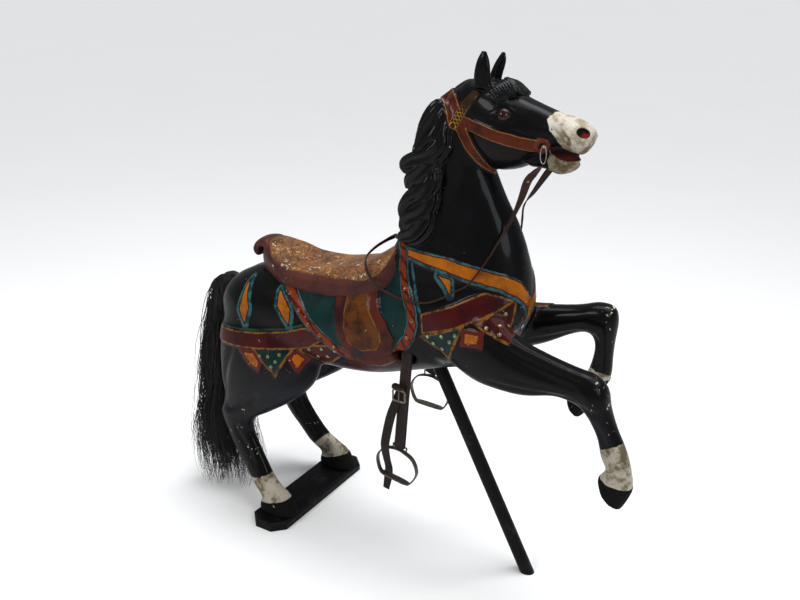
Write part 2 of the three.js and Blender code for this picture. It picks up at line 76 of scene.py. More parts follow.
# Creases behind the nostril and down to the lip, darker brown with painted shade and old dirt.
MUZZLE_FOLDS = [[[874, 1376], [883, 1364], [892, 1355], [895, 1344], [886, 1334]],
    [[846, 1384], [862, 1370], [875, 1358], [884, 1346], [902, 1336]]]
TONGUE = [[820, 1310, 820, 1290, 0, 26], [862, 1309, 862, 1290, 0, 33],
    [892, 1302, 892, 1284, 0, 26], [910, 1296, 908, 1288, 0, 12]]
HIND_LEG = [[40, 740, -200, 745, -92, 66], [112, 650, -238, 650, -104, 70],
    [152, 580, -244, 580, -118, 70], [134, 512, -240, 518, -130, 62],
    [58, 440, -234, 450, -138, 50], [-38, 376, -227, 392, -141, 40],
    [-104, 334, -240, 336, -144, 34], [-114, 292, -224, 280, -146, 30],
    [-86, 238, -190, 212, -150, 27], [-50, 182, -148, 160, -156, 27],
    [-26, 148, -110, 111, -162, 30], [4, 124, -82, 86, -168, 29], [34, 106, -62, 68, -171, 27],
    [42, 84, -60, 52, -172, 26]]
BOARD_TOP = 1000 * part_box("foot_board")[1][2]
HOOF_SOLE = BOARD_TOP + 0.3
HIND_HOOF = [[40, 104, -60, 68, -172, 34], [56, 72, -64, 52, -172, 40],
    [74, HOOF_SOLE, -66, HOOF_SOLE, -172, 46]]
RIGHT_FORELEG = [[640, 880, 600, 700, -88, 56], [735, 872, 690, 668, -106, 58],
    [820, 826, 765, 666, -122, 53], [900, 804, 850, 670, -129, 47], [985, 786, 930, 692, -132, 42],
    [1045, 776, 985, 690, -133, 41], [1076, 745, 1020, 672, -133, 42],
    [1088, 698, 1040, 645, -133, 37], [1112, 640, 1058, 610, -133, 31],
    [1135, 598, 1067, 575, -133, 29], [1152, 556, 1074, 548, -133, 30],
    [1162, 510, 1095, 518, -133, 28], [1156, 486, 1090, 498, -133, 27]]
RIGHT_FORE_HOOF = [[1166, 506, 1090, 518, -133, 33], [1162, 468, 1073, 490, -133, 38],
    [1141, 416, 1084, 458, -133, 42]]
LEFT_FORELEG = [[650, 850, 620, 690, 88, 56], [735, 835, 725, 694, 108, 56],
    [812, 841, 800, 718, 121, 49], [893, 855, 870, 757, 128, 43], [945, 872, 922, 779, 130, 43],
    [994, 868, 940, 772, 130, 43], [1009, 832, 948, 745, 130, 38], [1006, 771, 945, 712, 130, 31],
    [1004, 716, 938, 682, 130, 28], [1005, 662, 930, 655, 130, 30], [990, 625, 918, 640, 130, 28],
    [972, 592, 908, 616, 130, 27]]
LEFT_FORE_HOOF = [[980, 606, 912, 634, 130, 33], [957, 556, 886, 598, 130, 39],
    [920, 506, 882, 558, 130, 43]]
SADDLE = [[-116, 905, -96, 800, 0, 48], [-92, 926, -60, 790, 0, 70], [-35, 919, -10, 785, 0, 100],
    [20, 898, 30, 785, 0, 117], [75, 893, 80, 785, 0, 123], [140, 896, 145, 785, 0, 125],
    [210, 910, 220, 790, 0, 126], [275, 927, 290, 795, 0, 126], [325, 954, 350, 810, 0, 124],
    [370, 985, 400, 850, 0, 116], [402, 1004, 440, 900, 0, 100]]
CANTLE = [[-30, 915, 0, 850, 0, 90], [-80, 932, -60, 880, 0, 62], [-120, 931, -100, 900, 0, 46],
    [-150, 917, -122, 898, 0, 40], [-167, 894, -136, 889, 0, 38], [-158, 871, -138, 881, 0, 37],
    [-142, 867, -140, 876, 0, 34]]

# Each point of a lock of carved hair is [x, y, z, radius].
MANE = [[[546, -46, 1414, 20], [530, -54, 1392, 31], [510, -62, 1352, 33], [490, -70, 1308, 26],
    [470, -76, 1282, 13]], [[558, -54, 1392, 18], [546, -64, 1350, 25], [550, -76, 1308, 27],
    [520, -86, 1274, 28], [472, -84, 1258, 25], [442, -82, 1242, 19], [448, -80, 1222, 10]],
    [[540, -68, 1296, 20], [530, -82, 1260, 26], [498, -88, 1230, 27], [464, -84, 1204, 22],
    [450, -82, 1178, 12]], [[532, -76, 1250, 20], [532, -90, 1212, 26], [506, -97, 1172, 30],
    [468, -92, 1146, 27], [444, -90, 1112, 21], [450, -86, 1084, 11]],
    [[526, -80, 1196, 20], [526, -94, 1156, 27], [506, -101, 1122, 30], [474, -100, 1100, 28],
    [452, -98, 1076, 22], [458, -94, 1054, 12]], [[522, -86, 1146, 20], [516, -100, 1096, 28],
    [490, -106, 1060, 29], [458, -102, 1046, 23], [432, -100, 1040, 13]]]
POLL_RIDGE = [[512, 0, 1402, 18], [532, 0, 1416, 18], [549, 0, 1429, 18], [587, 0, 1455, 18],
    [612, 0, 1464, 13]]
MANE_FILL = [[534, -66, 1352, 20], [514, -76, 1320, 25], [492, -80, 1280, 20]]
MANE_BED = [[546, -36, 1408, 24], [526, -56, 1330, 32], [506, -66, 1262, 34], [492, -74, 1180, 35],
    [480, -82, 1100, 34], [470, -86, 1054, 24]]
CREST = [[[542, 6, 1412, 18], [526, 30, 1388, 23], [516, 46, 1350, 12]],
    [[528, 6, 1392, 20], [508, 34, 1346, 26], [500, 52, 1302, 12]],
    [[500, 6, 1336, 20], [484, 38, 1284, 26], [480, 58, 1238, 12]],
    [[476, 6, 1272, 20], [462, 42, 1216, 27], [462, 64, 1166, 12]],
    [[450, 6, 1202, 20], [442, 46, 1146, 27], [448, 70, 1096, 12]]]
# Each tuft of the forelock is a comb of strands: its first and last root and tip, and their number.
FORELOCK = [((660, -49, 1455), (692, -6, 1481), (702, -63, 1437), (743, -41, 1451), 8),
    ((696, -5, 1481), (680, 34, 1474), (750, -31, 1449), (744, 50, 1438), 9),
    ((678, 36, 1473), (662, 49, 1456), (732, 58, 1438), (702, 65, 1435), 6)]
RIGHT_EAR = [[650, -46, 1460, 24], [650, -48, 1494, 23], [652, -49, 1526, 18], [653, -48, 1553, 7]]
LEFT_EAR = [[641, 44, 1460, 19], [647, 46, 1490, 17], [657, 48, 1518, 14], [664, 48, 1543, 6]]
TAIL = [[-246, -4, 752, 16], [-278, -6, 764, 22], [-306, -14, 738, 34], [-326, -30, 660, 46],
    [-338, -52, 520, 64], [-342, -76, 360, 84], [-332, -98, 220, 98], [-318, -113, 110, 103],
    [-304, -119, 16, 92]]

TAIL_CORE = (0.9, 0.84, 0.76, 0.66, 0.54, 0.36, 0.1)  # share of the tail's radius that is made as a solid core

EYE_MIDDLE = (722, 62, 1399)
EYE_RADIUS = 19
NOSTRIL = (926, 36, 1369)
BIT_BOSS = (826, 53, 1329)
BOSS_RADIUS = 22
SLOT_MIDDLE = (475, 120, 697)  # where each stirrup leather comes out of the belly
HOOK_TOP = (836, 62, 1330)
HOOK_LENGTH = 46
HOOK_WIDTH = 16
HOOK_WIRE = 3
POLE_RADIUS = 20.5
POLE_TOP = (508, 0, 634)
POLE_FOOT = (835, 0, 0)
POLE_SOCKET = 55
POLE_SPARE = 60  # length below the floor, which is cut off

# ---- layout of the trappings ----
# The flank is unrolled: [distance along it towards the head, height]. See unrolled().

COLLAR_TOP = [[430, 1010], [467, 1008], [596, 1005], [726, 988], [792, 973], [829, 951], [855, 905],
    [900, 860]]
COLLAR_LOW = [[900, 770], [868, 806], [846, 876], [817, 914], [776, 940], [725, 953], [658, 963],
    [551, 980], [472, 990], [430, 992]]
PIPING = 11
BREAST_BAND = [[534, 846], [593, 871], [644, 891], [695, 914], [738, 930], [772, 923], [808, 906],
    [747, 872], [695, 847], [648, 824], [597, 807], [541, 789]]
BREECHING = [[-400, 640], [-250, 640], [-191, 648], [-46, 669], [60, 695], [140, 726], [205, 698],
    [150, 658], [90, 638], [-41, 616], [-159, 601], [-250, 596], [-400, 596]]
GREEN_STRIP = [[-400, 652], [-250, 652], [-191, 660], [-46, 683], [60, 708], [128, 736],
    *reversed(BREECHING[:6])]
BLANKET = [[17, 852], [65, 817], [112, 778], [151, 741], [202, 708], [242, 684], [290, 664],
    [340, 652], [390, 658], [432, 686], [470, 730], [497, 766], [509, 812], [500, 854], [468, 905],
    [452, 950], [444, 1002], [420, 1030], [200, 980], [0, 920]]
FLAP = [[222, 880], [236, 800], [258, 722], [282, 686], [335, 664], [400, 666], [440, 700],
    [452, 752], [425, 800], [398, 826], [372, 880]]
FLAP_PANEL = [[268, 880], [276, 800], [284, 745], [299, 711], [345, 695], [392, 708], [410, 740],
    [404, 772], [378, 800], [352, 835], [344, 880]]
DIAMONDS = [[[-112, 814], [-87, 740], [-99, 686], [-122, 728]],
    [[24, 812], [78, 767], [78, 716], [30, 770]], [[571, 958], [615, 950], [619, 911]]]
GREEN_TABS = [[[-76, 622], [92, 644], [31, 536]], [[528, 780], [677, 842], [627, 722]]]
OCHRE_TABS = [[[-124, 602], [-54, 612], [-21, 580], [-30, 540], [-73, 556]],
    [[68, 610], [96, 638], [138, 612], [107, 562]], [[667, 830], [723, 836], [717, 788],
    [665, 781]]]
DARK_TABS = [[[96, 636], [140, 668], [250, 692], [268, 655], [196, 598]],
    [[698, 848], [800, 916], [813, 906], [801, 850], [762, 811]]]
COLLAR_LINE = [[480, 972], [489, 946], [501, 908], [517, 876], [530, 850]]
OUTLINES = {"green_strip": [GREEN_STRIP], "diamond": DIAMONDS, "green_tab": GREEN_TABS,
    "ochre_tab": OCHRE_TABS, "dark_tab": DARK_TABS, "band": [BREAST_BAND, BREECHING],
    "collar": [COLLAR_TOP + COLLAR_LOW], "blanket": [BLANKET], "flap": [FLAP],
    "flap_panel": [FLAP_PANEL]}

# Jewels set in the tabs and the blanket's trim: [along, height].
TEAL_JEWELS = [[-24, 600], [5, 604], [47, 615], [33, 594], [19, 570], [148, 645], [202, 662],
    [239, 667], [175, 628], [215, 636], [556, 777], [599, 789], [641, 808], [579, 764], [625, 781],
    [603, 750]]
CLEAR_JEWELS = [[784, 877], [755, 860], [728, 849], [783, 850], [750, 841]]
RUBY_JEWELS = [[63, 816], [114, 779], [152, 741], [201, 709], [250, 681], [466, 908], [507, 826],
    [494, 763]]
AMBER_JEWELS = [[-84, 588], [-42, 589], [-46, 568], [-72, 568], [86, 607], [97, 622], [118, 606],
    [107, 592], [684, 817], [706, 823], [704, 803], [686, 800]]

# Bridle straps on the head, as [x, y from the middle, z], with half their width.
CROWN_STRAP = [[521, 0, 1433], [537, 22, 1430], [557, 42, 1417], [576, 58, 1395], [586, 66, 1368]]
CHEEK_STRAP = [[590, 64, 1376], [640, 70, 1366], [684, 79, 1355], [744, 73, 1341], [790, 61, 1332],
    [826, 52, 1329]]
THROAT_STRAP = [[594, 66, 1366], [622, 62, 1318], [646, 53, 1286], [664, 36, 1262], [674, 0, 1244]]
BROW_PANEL = [[580, 66, 1364], [602, 60, 1398], [636, 55, 1438]]

# The reins: each point is [x, y, z, outward x, outward y, outward z, width].
REIN_FALL_RIGHT = [[833, -67, 1282, 1, 0, 0.6, 16], [815, -67, 1262, 1, -0.3, 0.5, 24],
    [797, -65, 1238, 0.9, -0.5, 0.3, 27], [780, -60, 1190, 0.8, -0.6, 0.3, 20],
    [756, -50, 1138, 0.8, -0.6, 0.3, 12], [740, -58, 1100, 0.66, -0.7, 0.3, 9]]
REIN_FALL_LEFT = [[833, 67, 1282, 1, 0, 0.6, 16], [818, 66, 1262, 1, -0.3, 0.5, 20],
    [796, 63, 1232, 0.9, -0.6, 0.3, 20], [768, 56, 1185, 0.9, -0.4, 0.3, 15],
    [742, 50, 1142, 0.9, 0.4, 0.3, 11], [733, 62, 1100, 0.66, 0.7, 0.3, 9]]
REIN_ON_SHOULDER = [[724, 78, 1060, 0.6, 0.75, 0.25, 6], [706, 97, 1018, 0.36, 0.9, 0.2, 5],
    [668, 125, 953, 0.12, 0.98, 0.19, 5], [627, 138, 924, 0.14, 0.9, 0.43, 5],
    [588, 150, 899, 0, 0.92, 0.38, 6], [542, 154, 882, -0.07, 0.92, 0.39, 6],
    [474, 150, 877, -0.15, 0.92, 0.37, 7], [412, 141, 886, -0.2, 0.85, 0.5, 8],
    [371, 138, 906, -0.3, 0.95, 0.1, 10], [343, 130, 936, -0.6, 0.75, 0.4, 11],
    [322, 100, 962, -0.9, 0.3, 0.4, 12], [328, 60, 982, -0.95, 0, 0.3, 12],
    [346, 27, 998, -1, 0, 0.2, 12]]
REIN_BEHIND_NECK = [354, 0, 1003, -1, 0, 0.1, 14]

SPARE_END = [[455, -131, 575, 0.3, -1, 0, 26], [446, -136, 545, 0.3, -1, 0, 27],
    [430, -145, 490, 0.3, -1, 0, 28], [416, -150, 415, 0.2, -1, 0, 28],
    [412, -148, 382, 0.1, -1, 0, 28], [408, -132, 335, 0, -1, 0, 28],
    [403, -112, 290, 0, -1, 0, 28], [396, -106, 250, 0, -1, 0, 28], [389, -106, 208, 0, -1, 0, 22]]

# The right stirrup hangs low and the left one is hooked up higher.
STIRRUPS = {"right": {"eye": (455, -132, 386), "lean": 0.16, "hand": RIGHT,
    "buckle": (459, -144, 568), "keeper": (452, -137, 566)},
    "left": {"eye": (414, 130, 515), "lean": 0.05, "hand": LEFT, "buckle": (446, 134.5, 620),
    "keeper": (449, 124, 610)}}
STIRRUP_WIDTH = 140
STIRRUP_HEIGHT = 112
LEATHER_WIDTH = 34


# ---- settings ----

def linear(red, green, blue):
    """A colour given in 0-255 steps, as the light it reflects."""
    def channel(value):
        value /= 255
        return value / 12.92 if value <= 0.04045 else ((value + 0.055) / 1.055) ** 2.4
    return (channel(red), channel(green), channel(blue))


def colour(name, description, red, green, blue):
    return bpy.props.FloatVectorProperty(name=name, description=description, subtype="COLOR",
        size=3, min=0, max=1, default=linear(red, green, blue))


def length(name, description, millimetres):
    return bpy.props.FloatProperty(name=name, description=description, unit="LENGTH", min=0,
        default=millimetres * MM)


class CarvingSettings(bpy.types.PropertyGroup):
    """Fineness and depth of the carved surfaces"""
    body_grain: length("Body grain", "Facet size of the body's surface", 5.5)
    head_grain: length("Head grain", "Facet size of the head and neck's surface", 3.35)
    saddle_grain: length("Saddle grain", "Facet size of the saddle's surface", 3.4)
    trapping_relief: length("Trapping relief", "How far the carved trappings stand proud", 4.5)
    strand_depth: length("Strand depth", "Depth of the grooves in the mane", 4.2)


class PaintSettings(bpy.types.PropertyGroup):
    """Paint colours of the carving"""
    black: colour("Black", "The horse's coat", 6, 6, 7)
    white: colour("White", "Muzzle and socks", 190, 184, 170)
    teal: colour("Teal", "Blanket", 10, 39, 38)
    pale_teal: colour("Pale teal", "Highlights of the piping", 40, 84, 88)
    maroon: colour("Maroon", "Breast band and breeching", 60, 10, 9)
    orange: colour("Orange", "Blanket trim", 106, 38, 11)
    gold: colour("Gold", "Piping", 112, 72, 22)
    ochre: colour("Ochre", "Collar, diamonds and tabs", 152, 84, 8)
    green: colour("Green", "Strip and tabs", 24, 54, 36)
    leather: colour("Leather paint", "Painted bridle", 74, 29, 9)
    saddle_tan: colour("Saddle tan", "Seat of the saddle", 134, 88, 48)
    saddle_red: colour("Saddle red", "Edge of the saddle", 72, 28, 17)


class HairSettings(bpy.types.PropertyGroup):
    """The horsehair tail"""
    strands: bpy.props.IntProperty(name="Strands", description="Number of bundles of hair",
        default=1400, min=10, max=2000)
    root_radius: length("Root radius", "Radius of a bundle at the rump", 1.6)
    tip_radius: length("Tip radius", "Radius of a bundle at its tip", 0.45)


class JewelSettings(bpy.types.PropertyGroup):
    """Glass jewels set in the trappings"""
    radius: length("Radius", "Radius of a jewel", 4.8)
    rise: length("Rise", "Height of a jewel above the paint", 4.0)


class StageSettings(bpy.types.PropertyGroup):
    """Camera, floor and light"""
    camera_place: bpy.props.FloatVectorProperty(name="Camera place",
        description="Where the camera stands", unit="LENGTH", default=(1.684, -2.151, 1.781))
    camera_aim: bpy.props.FloatVectorProperty(name="Camera aim",
        description="The point in the middle of the view", unit="LENGTH",
        default=(0.3753, 0.0, 0.8064))
    lens: bpy.props.FloatProperty(name="Lens", description="Focal length in millimetres",
        default=40.25)
    floor: colour("Floor", "Colour of the floor", 236, 236, 236)


class CarouselHorseSettings(bpy.types.PropertyGroup):
    """Everything that a user may change"""
    carving: bpy.props.PointerProperty(type=CarvingSettings)
    paint: bpy.props.PointerProperty(type=PaintSettings)
    hair: bpy.props.PointerProperty(type=HairSettings)
    jewels: bpy.props.PointerProperty(type=JewelSettings)
    stage: bpy.props.PointerProperty(type=StageSettings)


# ---- curves and shells ----

def along_curve(points, t):
    """Places at t, from 0 to 1, on the smooth curve through the points."""
    p = np.asarray(points, float)
    p = np.vstack([2 * p[0] - p[1], p, 2 * p[-1] - p[-2]])
    x = np.clip(np.atleast_1d(t), 0, 1) * (len(p) - 3)
    i = np.minimum(x.astype(int), len(p) - 4)
    f = (x - i)[:, None]
    a, b, c, d = p[i], p[i + 1], p[i + 2], p[i + 3]
    return b + 0.5 * f * ((c - a) + f * ((2 * a - 5 * b + 4 * c - d) + f * (3 * b - a - 3 * c + d)))


def unit(vectors):
    """The same directions, each one long."""
    return vectors / np.linalg.norm(vectors, axis=-1, keepdims=True)


def turns(count):
    """Angles spread evenly round a full turn."""
    return np.arange(count) * 2 * math.pi / count


def directions(path):
    """Unit tangents of a dense path."""
    return unit(np.gradient(path, axis=0))


def closed_shell(rings):
    """Vertices and faces of a skin over rings[ring, side], closed at both ends by a pole."""
    count, sides, _ = rings.shape
    start, finish = rings[0].mean(axis=0), rings[-1].mean(axis=0)
    verts = np.vstack([rings.reshape(-1, 3), start, finish])
    faces = []
    for r in range(count - 1):
        for s in range(sides):
            n = (s + 1) % sides
            faces.append((r * sides + s, r * sides + n, (r + 1) * sides + n, (r + 1) * sides + s))
    for s in range(sides):
        n = (s + 1) % sides
        faces.append((n, s, count * sides))
        faces.append(((count - 1) * sides + s, (count - 1) * sides + n, count * sides + 1))
    return verts, faces


def bent(value, squareness):
    return np.sign(value) * np.abs(value) ** squareness


def mass(stations, squareness=0.9, sides=56):
    """The closed skin of a carved mass between its upper and lower outlines."""
    place = along_curve(stations, np.linspace(0, 1, (len(stations) - 1) * STATION_ROWS + 1))
    angle = turns(sides)
    up, out = bent(np.cos(angle), squareness), bent(np.sin(angle), squareness)
    middle = 0.5 * (place[:, 0:2] + place[:, 2:4])
    reach = 0.5 * (place[:, 0:2] - place[:, 2:4])
    rings = np.empty((len(place), sides, 3))
    rings[:, :, 0] = middle[:, :1] + reach[:, :1] * up
    rings[:, :, 2] = middle[:, 1:] + reach[:, 1:] * up
    rings[:, :, 1] = place[:, 4:5] + place[:, 5:6] * out
    return closed_shell(rings)


def lock(points, flat=0.6, sides=28, rows=10):
    """The closed skin of a tapering lock of hair."""
    place = along_curve(points, np.linspace(0, 1, (len(points) - 1) * rows + 1))
    path, radius = place[:, :3], place[:, 3]
    along = directions(path)
    across = unit(np.stack([-along[:, 2], 0 * radius, along[:, 0]], axis=1))
    angle = turns(sides)
    rings = path[:, None] + across[:, None] * (radius[:, None] * np.cos(angle))[:, :, None]
    rings[:, :, 1] += flat * radius[:, None] * np.sin(angle)
    return closed_shell(rings)


def strap(points, thickness, rows=8):
    """A flat strap with rounded edges along points of place, outward direction and width."""
    place = along_curve(points, np.linspace(0, 1, (len(points) - 1) * rows + 1))
    path, width = place[:, :3], place[:, 6]
    along = directions(path)
    outward = place[:, 3:6]
    outward = unit(outward - along * np.sum(outward * along, axis=1, keepdims=True))
    across = np.cross(along, outward)
    angle = turns(16) + math.pi / 16
    wide, deep = bent(np.cos(angle), 0.3), bent(np.sin(angle), 0.5)
    rings = (path[:, None] + across[:, None] * (0.5 * width[:, None] * wide)[:, :, None]
        + outward[:, None] * (0.5 * thickness * deep)[:, None])
    return closed_shell(rings)


def ring_bar(path, outward_half, side_half, side, sides=12, squareness=1.0):
    """A bar that runs round a closed path and joins its own start."""
    path = np.asarray(path, float)
    along = unit(np.roll(path, -1, axis=0) - np.roll(path, 1, axis=0))
    outward = unit(np.cross(along, side))
    angle = turns(sides)
    out, over = bent(np.cos(angle), squareness), bent(np.sin(angle), squareness)
    rings = (path[:, None] + outward[:, None] * (outward_half * out)[:, None]
        + np.asarray(side, float) * (side_half * over)[:, None])
    count = len(path)
    faces = []
    for r in range(count):
        for s in range(sides):
            n, q = (s + 1) % sides, (r + 1) % count
            faces.append((r * sides + s, q * sides + s, q * sides + n, r * sides + n))
    return rings.reshape(-1, 3), faces


def closed_curve(points, count):
    """Evenly spread places on a smooth closed curve through the points."""
    loop = list(points) + [points[0]]
    wrapped = [points[-1]] + loop + [points[1]]
    share = 1 / (len(wrapped) - 1)
    dense = along_curve(wrapped, np.linspace(share, 1 - share, 600))
    step = np.r_[0, np.cumsum(np.linalg.norm(np.diff(dense, axis=0), axis=1))]
    wanted = np.arange(count) * step[-1] / count
    return np.stack([np.interp(wanted, step, dense[:, k]) for k in range(3)], axis=1)


def bar_between(start, finish, radius, sides=24, round_end=0.25):
    """A round bar with softened ends."""
    start, finish = np.asarray(start, float), np.asarray(finish, float)
    along = unit(finish - start)
    across = unit(np.cross(along, [0, 1, 0] if abs(along[1]) < 0.9 else [1, 0, 0]))
    other = np.cross(along, across)
    angle = turns(sides)
    circle = np.outer(np.cos(angle), across) + np.outer(np.sin(angle), other)
    soft = radius * round_end
    whole = np.linalg.norm(finish - start)
    profile = [(0, radius - soft), (0.3 * soft, radius - 0.3 * soft), (soft, radius)]
    profile += [(whole - d, r) for d, r in reversed(profile)]
    rings = np.array([start + along * d + circle * r for d, r in profile])
    return closed_shell(rings)


def together(shells):
    """Several shells as one list of vertices and one of faces."""
    verts, faces, offset = [], [], 0
    for shell_verts, shell_faces in shells:
        verts.append(np.asarray(shell_verts, float))
        faces.extend(tuple(i + offset for i in face) for face in shell_faces)
        offset += len(shell_verts)
    return np.vstack(verts), faces


def mirrored(stations):
    return [[ux, uz, lx, lz, -y, half] for ux, uz, lx, lz, y, half in stations]


def comb(first_root, last_root, first_tip, last_tip, count):
    """Locks side by side, from a row of roots over the brow to a row of blunt tips."""
    locks = []
    for share in np.linspace(0, 1, count):
        root = (1 - share) * np.array(first_root) + share * np.array(last_root)
        tip = (1 - share) * np.array(first_tip) + share * np.array(last_tip)
        middle = 0.5 * (root + tip) + (0, 0, 9)
        locks.append([[*root, 8.0], [*middle, 8.0], [*tip, 7.0]])
    return locks


# ---- skins: a carved surface while it is shaped ----

def smoothstep(low, high, value):
    f = np.clip((value - low) / (high - low), 0, 1)
    return f * f * (3 - 2 * f)


def path_distance(places, path):
    """Distance of each place from a polyline, and how far along the line its nearest point is."""
    path = np.asarray(path, float)
    best = np.full(len(places), np.inf)
    where = np.zeros(len(places))
    for i, (a, b) in enumerate(zip(path[:-1], path[1:])):
        edge = b - a
        f = np.clip((places - a) @ edge / max(edge @ edge, 1e-9), 0, 1)
        gap = np.linalg.norm(places - a - f[:, None] * edge, axis=1)
        nearer = gap < best
        best[nearer] = gap[nearer]
        where[nearer] = (i + f[nearer]) / (len(path) - 1)
    return best, where


def inside_distance(places, outline):
    """Signed distance to a closed outline, positive inside it."""
    outline = np.asarray(outline, float)
    gap, _ = path_distance(places, np.vstack([outline, outline[:1]]))
    x, z = places[:, 0], places[:, 1]
    inside = np.zeros(len(places), bool)
    for (x0, z0), (x1, z1) in zip(outline, np.roll(outline, -1, axis=0)):
        crossing = (z0 > z) != (z1 > z)
        if z0 != z1:
            inside ^= crossing & (x < (x1 - x0) * (z - z0) / (z1 - z0) + x0)
    return np.where(inside, gap, -gap)


def nearest_outline(places, outlines):
    return np.max([inside_distance(places, outline) for outline in outlines], axis=0)


def unrolled(places):
    """The flank laid flat. Chest and rump are wrapped round two upright axes."""
    x, side = places[:, 0], np.abs(places[:, 1])
    s = np.where(x > 600, 600 + 170 * np.arctan2(x - 600, side), x)
    s = np.where(x < -120, -120 - 150 * np.arctan2(-120 - x, side), s)
    return np.stack([s, places[:, 2]], axis=1)


class Skin:
    """A carved surface as arrays in millimetres, fused from overlapping closed shells."""

    def __init__(self, shells, grain):
        verts, faces = together(shells)
        mesh = new_mesh("fused", verts, faces=faces)
        rough = in_scene("fused", mesh)
        remesh = rough.modifiers.new("Fuse", "REMESH")
        remesh.mode = "VOXEL"
        remesh.voxel_size = grain
        graph = bpy.context.evaluated_depsgraph_get()
        fused = bpy.data.meshes.new_from_object(rough.evaluated_get(graph))
        bpy.data.objects.remove(rough)
        bpy.data.meshes.remove(mesh)
        place = np.empty(3 * len(fused.vertices), np.float32)
        fused.vertices.foreach_get("co", place)
        corner = np.empty(len(fused.loops), np.int32)
        fused.loops.foreach_get("vertex_index", corner)
        self.places = place.reshape(-1, 3).astype(float) / MM
        self.quads = corner.reshape(-1, 4)
        bpy.data.meshes.remove(fused)
        self.keep_largest()
        edges = np.vstack([self.quads[:, [i, (i + 1) % 4]] for i in range(4)])
        edges = np.unique(np.sort(edges, axis=1), axis=0)
        self.ends = np.concatenate([edges[:, 0], edges[:, 1]])
        self.others = np.concatenate([edges[:, 1], edges[:, 0]])
        self.valence = np.bincount(self.ends, minlength=len(self.places))

    def keep_largest(self):
        """Drops any small shell sealed inside the carving."""
        group = np.arange(len(self.places))
        while True:
            low = group[self.quads].min(axis=1)
            fresh = group.copy()
            for i in range(4):
                np.minimum.at(fresh, self.quads[:, i], low)
            fresh = fresh[fresh]
            if np.array_equal(fresh, group):
                break
            group = fresh
        names, sizes = np.unique(group, return_counts=True)
        kept = group == names[np.argmax(sizes)]
        index = np.cumsum(kept) - 1
        self.quads = index[self.quads[kept[self.quads[:, 0]]]]
        self.places = self.places[kept]

    def average(self, values):
        """Mean of each vertex's neighbours."""
        columns = [np.bincount(self.ends, values[self.others, k], len(self.places))
            for k in range(values.shape[1])]
        return np.stack(columns, axis=1) / self.valence[:, None]

    def relax(self, rounds, freedom=1.0):
        """Smooths the surface. freedom says how much each vertex takes part."""
        share = np.broadcast_to(np.asarray(freedom, float), len(self.places))[:, None] * 0.5
        for _ in range(rounds):
            self.places = self.places + share * (self.average(self.places) - self.places)

    def normals(self):
        a, b, c, d = (self.places[self.quads[:, i]] for i in range(4))
        face = np.cross(c - a, d - b)
        total = np.stack([sum(np.bincount(self.quads[:, i], face[:, k], len(self.places))
            for i in range(4)) for k in range(3)], axis=1)
        return total / np.maximum(np.linalg.norm(total, axis=1, keepdims=True), 1e-9)

    def lift(self, amount):
        """Moves the surface along its normals, in millimetres."""
        self.places = self.places + self.normals() * amount[:, None]

    def folded(self):
        """Places with both sides laid on the left one."""
        return self.places * [1, 0, 1] + np.abs(self.places) * [0, 1, 0]

    def stroke(self, path, width, depth, hand=0):
        """A groove, or a ridge where depth is negative, along [x, z] on the flanks."""
        line = along_curve(path, np.linspace(0, 1, 6 * len(path)))
        gap, where = path_distance(self.places[:, [0, 2]], line)
        fade = np.sqrt(np.clip(4 * where * (1 - where), 0, 1)) * 0.8 + 0.2
        amount = -depth * fade * np.exp(-(gap / width) ** 2)
        if hand:
            amount = amount * (self.places[:, 1] * hand > 20)
        else:
            amount = amount * smoothstep(12, 40, np.abs(self.places[:, 1]))
        return amount

    def swelling(self, middle, reach, height, hand=0):
        """A soft rise round a point, on both sides unless hand is given."""
        places = self.folded() if not hand else self.places * [1, hand, 1]
        away = (places - middle) / reach
        return height * np.exp(-np.sum(away * away, axis=1))

    def strands(self, locks, depth, ridges):
        """Grooves that run along locks of hair."""
        best = np.full(len(self.places), 1.25)
        amount = np.zeros(len(self.places))
        for number, points in enumerate(locks):
            path = along_curve(points, np.linspace(0, 1, 8 * len(points)))
            low, high = path[:, :3].min(axis=0) - 55, path[:, :3].max(axis=0) + 55
            near = np.flatnonzero(np.all((self.places > low) & (self.places < high), axis=1))
            places = self.places[near]
            gap, where = path_distance(places, path[:, :3])
            at = where * (len(path) - 1)
            index = np.minimum(at.astype(int), len(path) - 1)
            radius = np.interp(at, np.arange(len(path)), path[:, 3])
            along = directions(path[:, :3])[index]
            across = unit(np.stack([-along[:, 2], 0 * at, along[:, 0]], axis=1))
            offset = places - path[index, :3]
            turn = np.arctan2(np.abs(offset[:, 1]) / 0.6, np.sum(offset * across, axis=1))
            wave = np.cos(ridges * turn + 0.9 * np.sin(5.5 * where + 1.7 * number))
            groove = depth * (0.35 + 0.65 * np.sin(math.pi * np.clip(where * 1.1, 0, 1)))
            relative = gap / np.maximum(radius, 6)
            chosen = relative < best[near]
            rows = near[chosen]
            best[rows] = relative[chosen]
            fade = smoothstep(1.25, 0.95, relative[chosen])
            amount[rows] = (groove * wave)[chosen] * fade
        return amount, best

    def combed(self, locks, depth):
        """Valleys half way between strands that lie side by side."""
        normals = self.normals()
        nearest = np.full(len(self.places), np.inf)
        for points in locks:
            path = along_curve(points, np.linspace(0, 1, 24))
            gap, where = path_distance(self.places, path[:, :3])
            index = np.minimum((where * 23).astype(int), 23)
            run = directions(path[:, :3])[index]
            offset = self.places - path[index, :3]
            offset -= run * np.sum(offset * run, axis=1, keepdims=True)
            offset -= normals * np.sum(offset * normals, axis=1, keepdims=True)
            aside = np.linalg.norm(offset, axis=1) / (2.8 + 2.6 * where)
            nearest = np.where(gap < 10, np.minimum(nearest, aside), nearest)
        return np.where(nearest < 2, -depth * smoothstep(0.35, 1.0, nearest), 0.0)

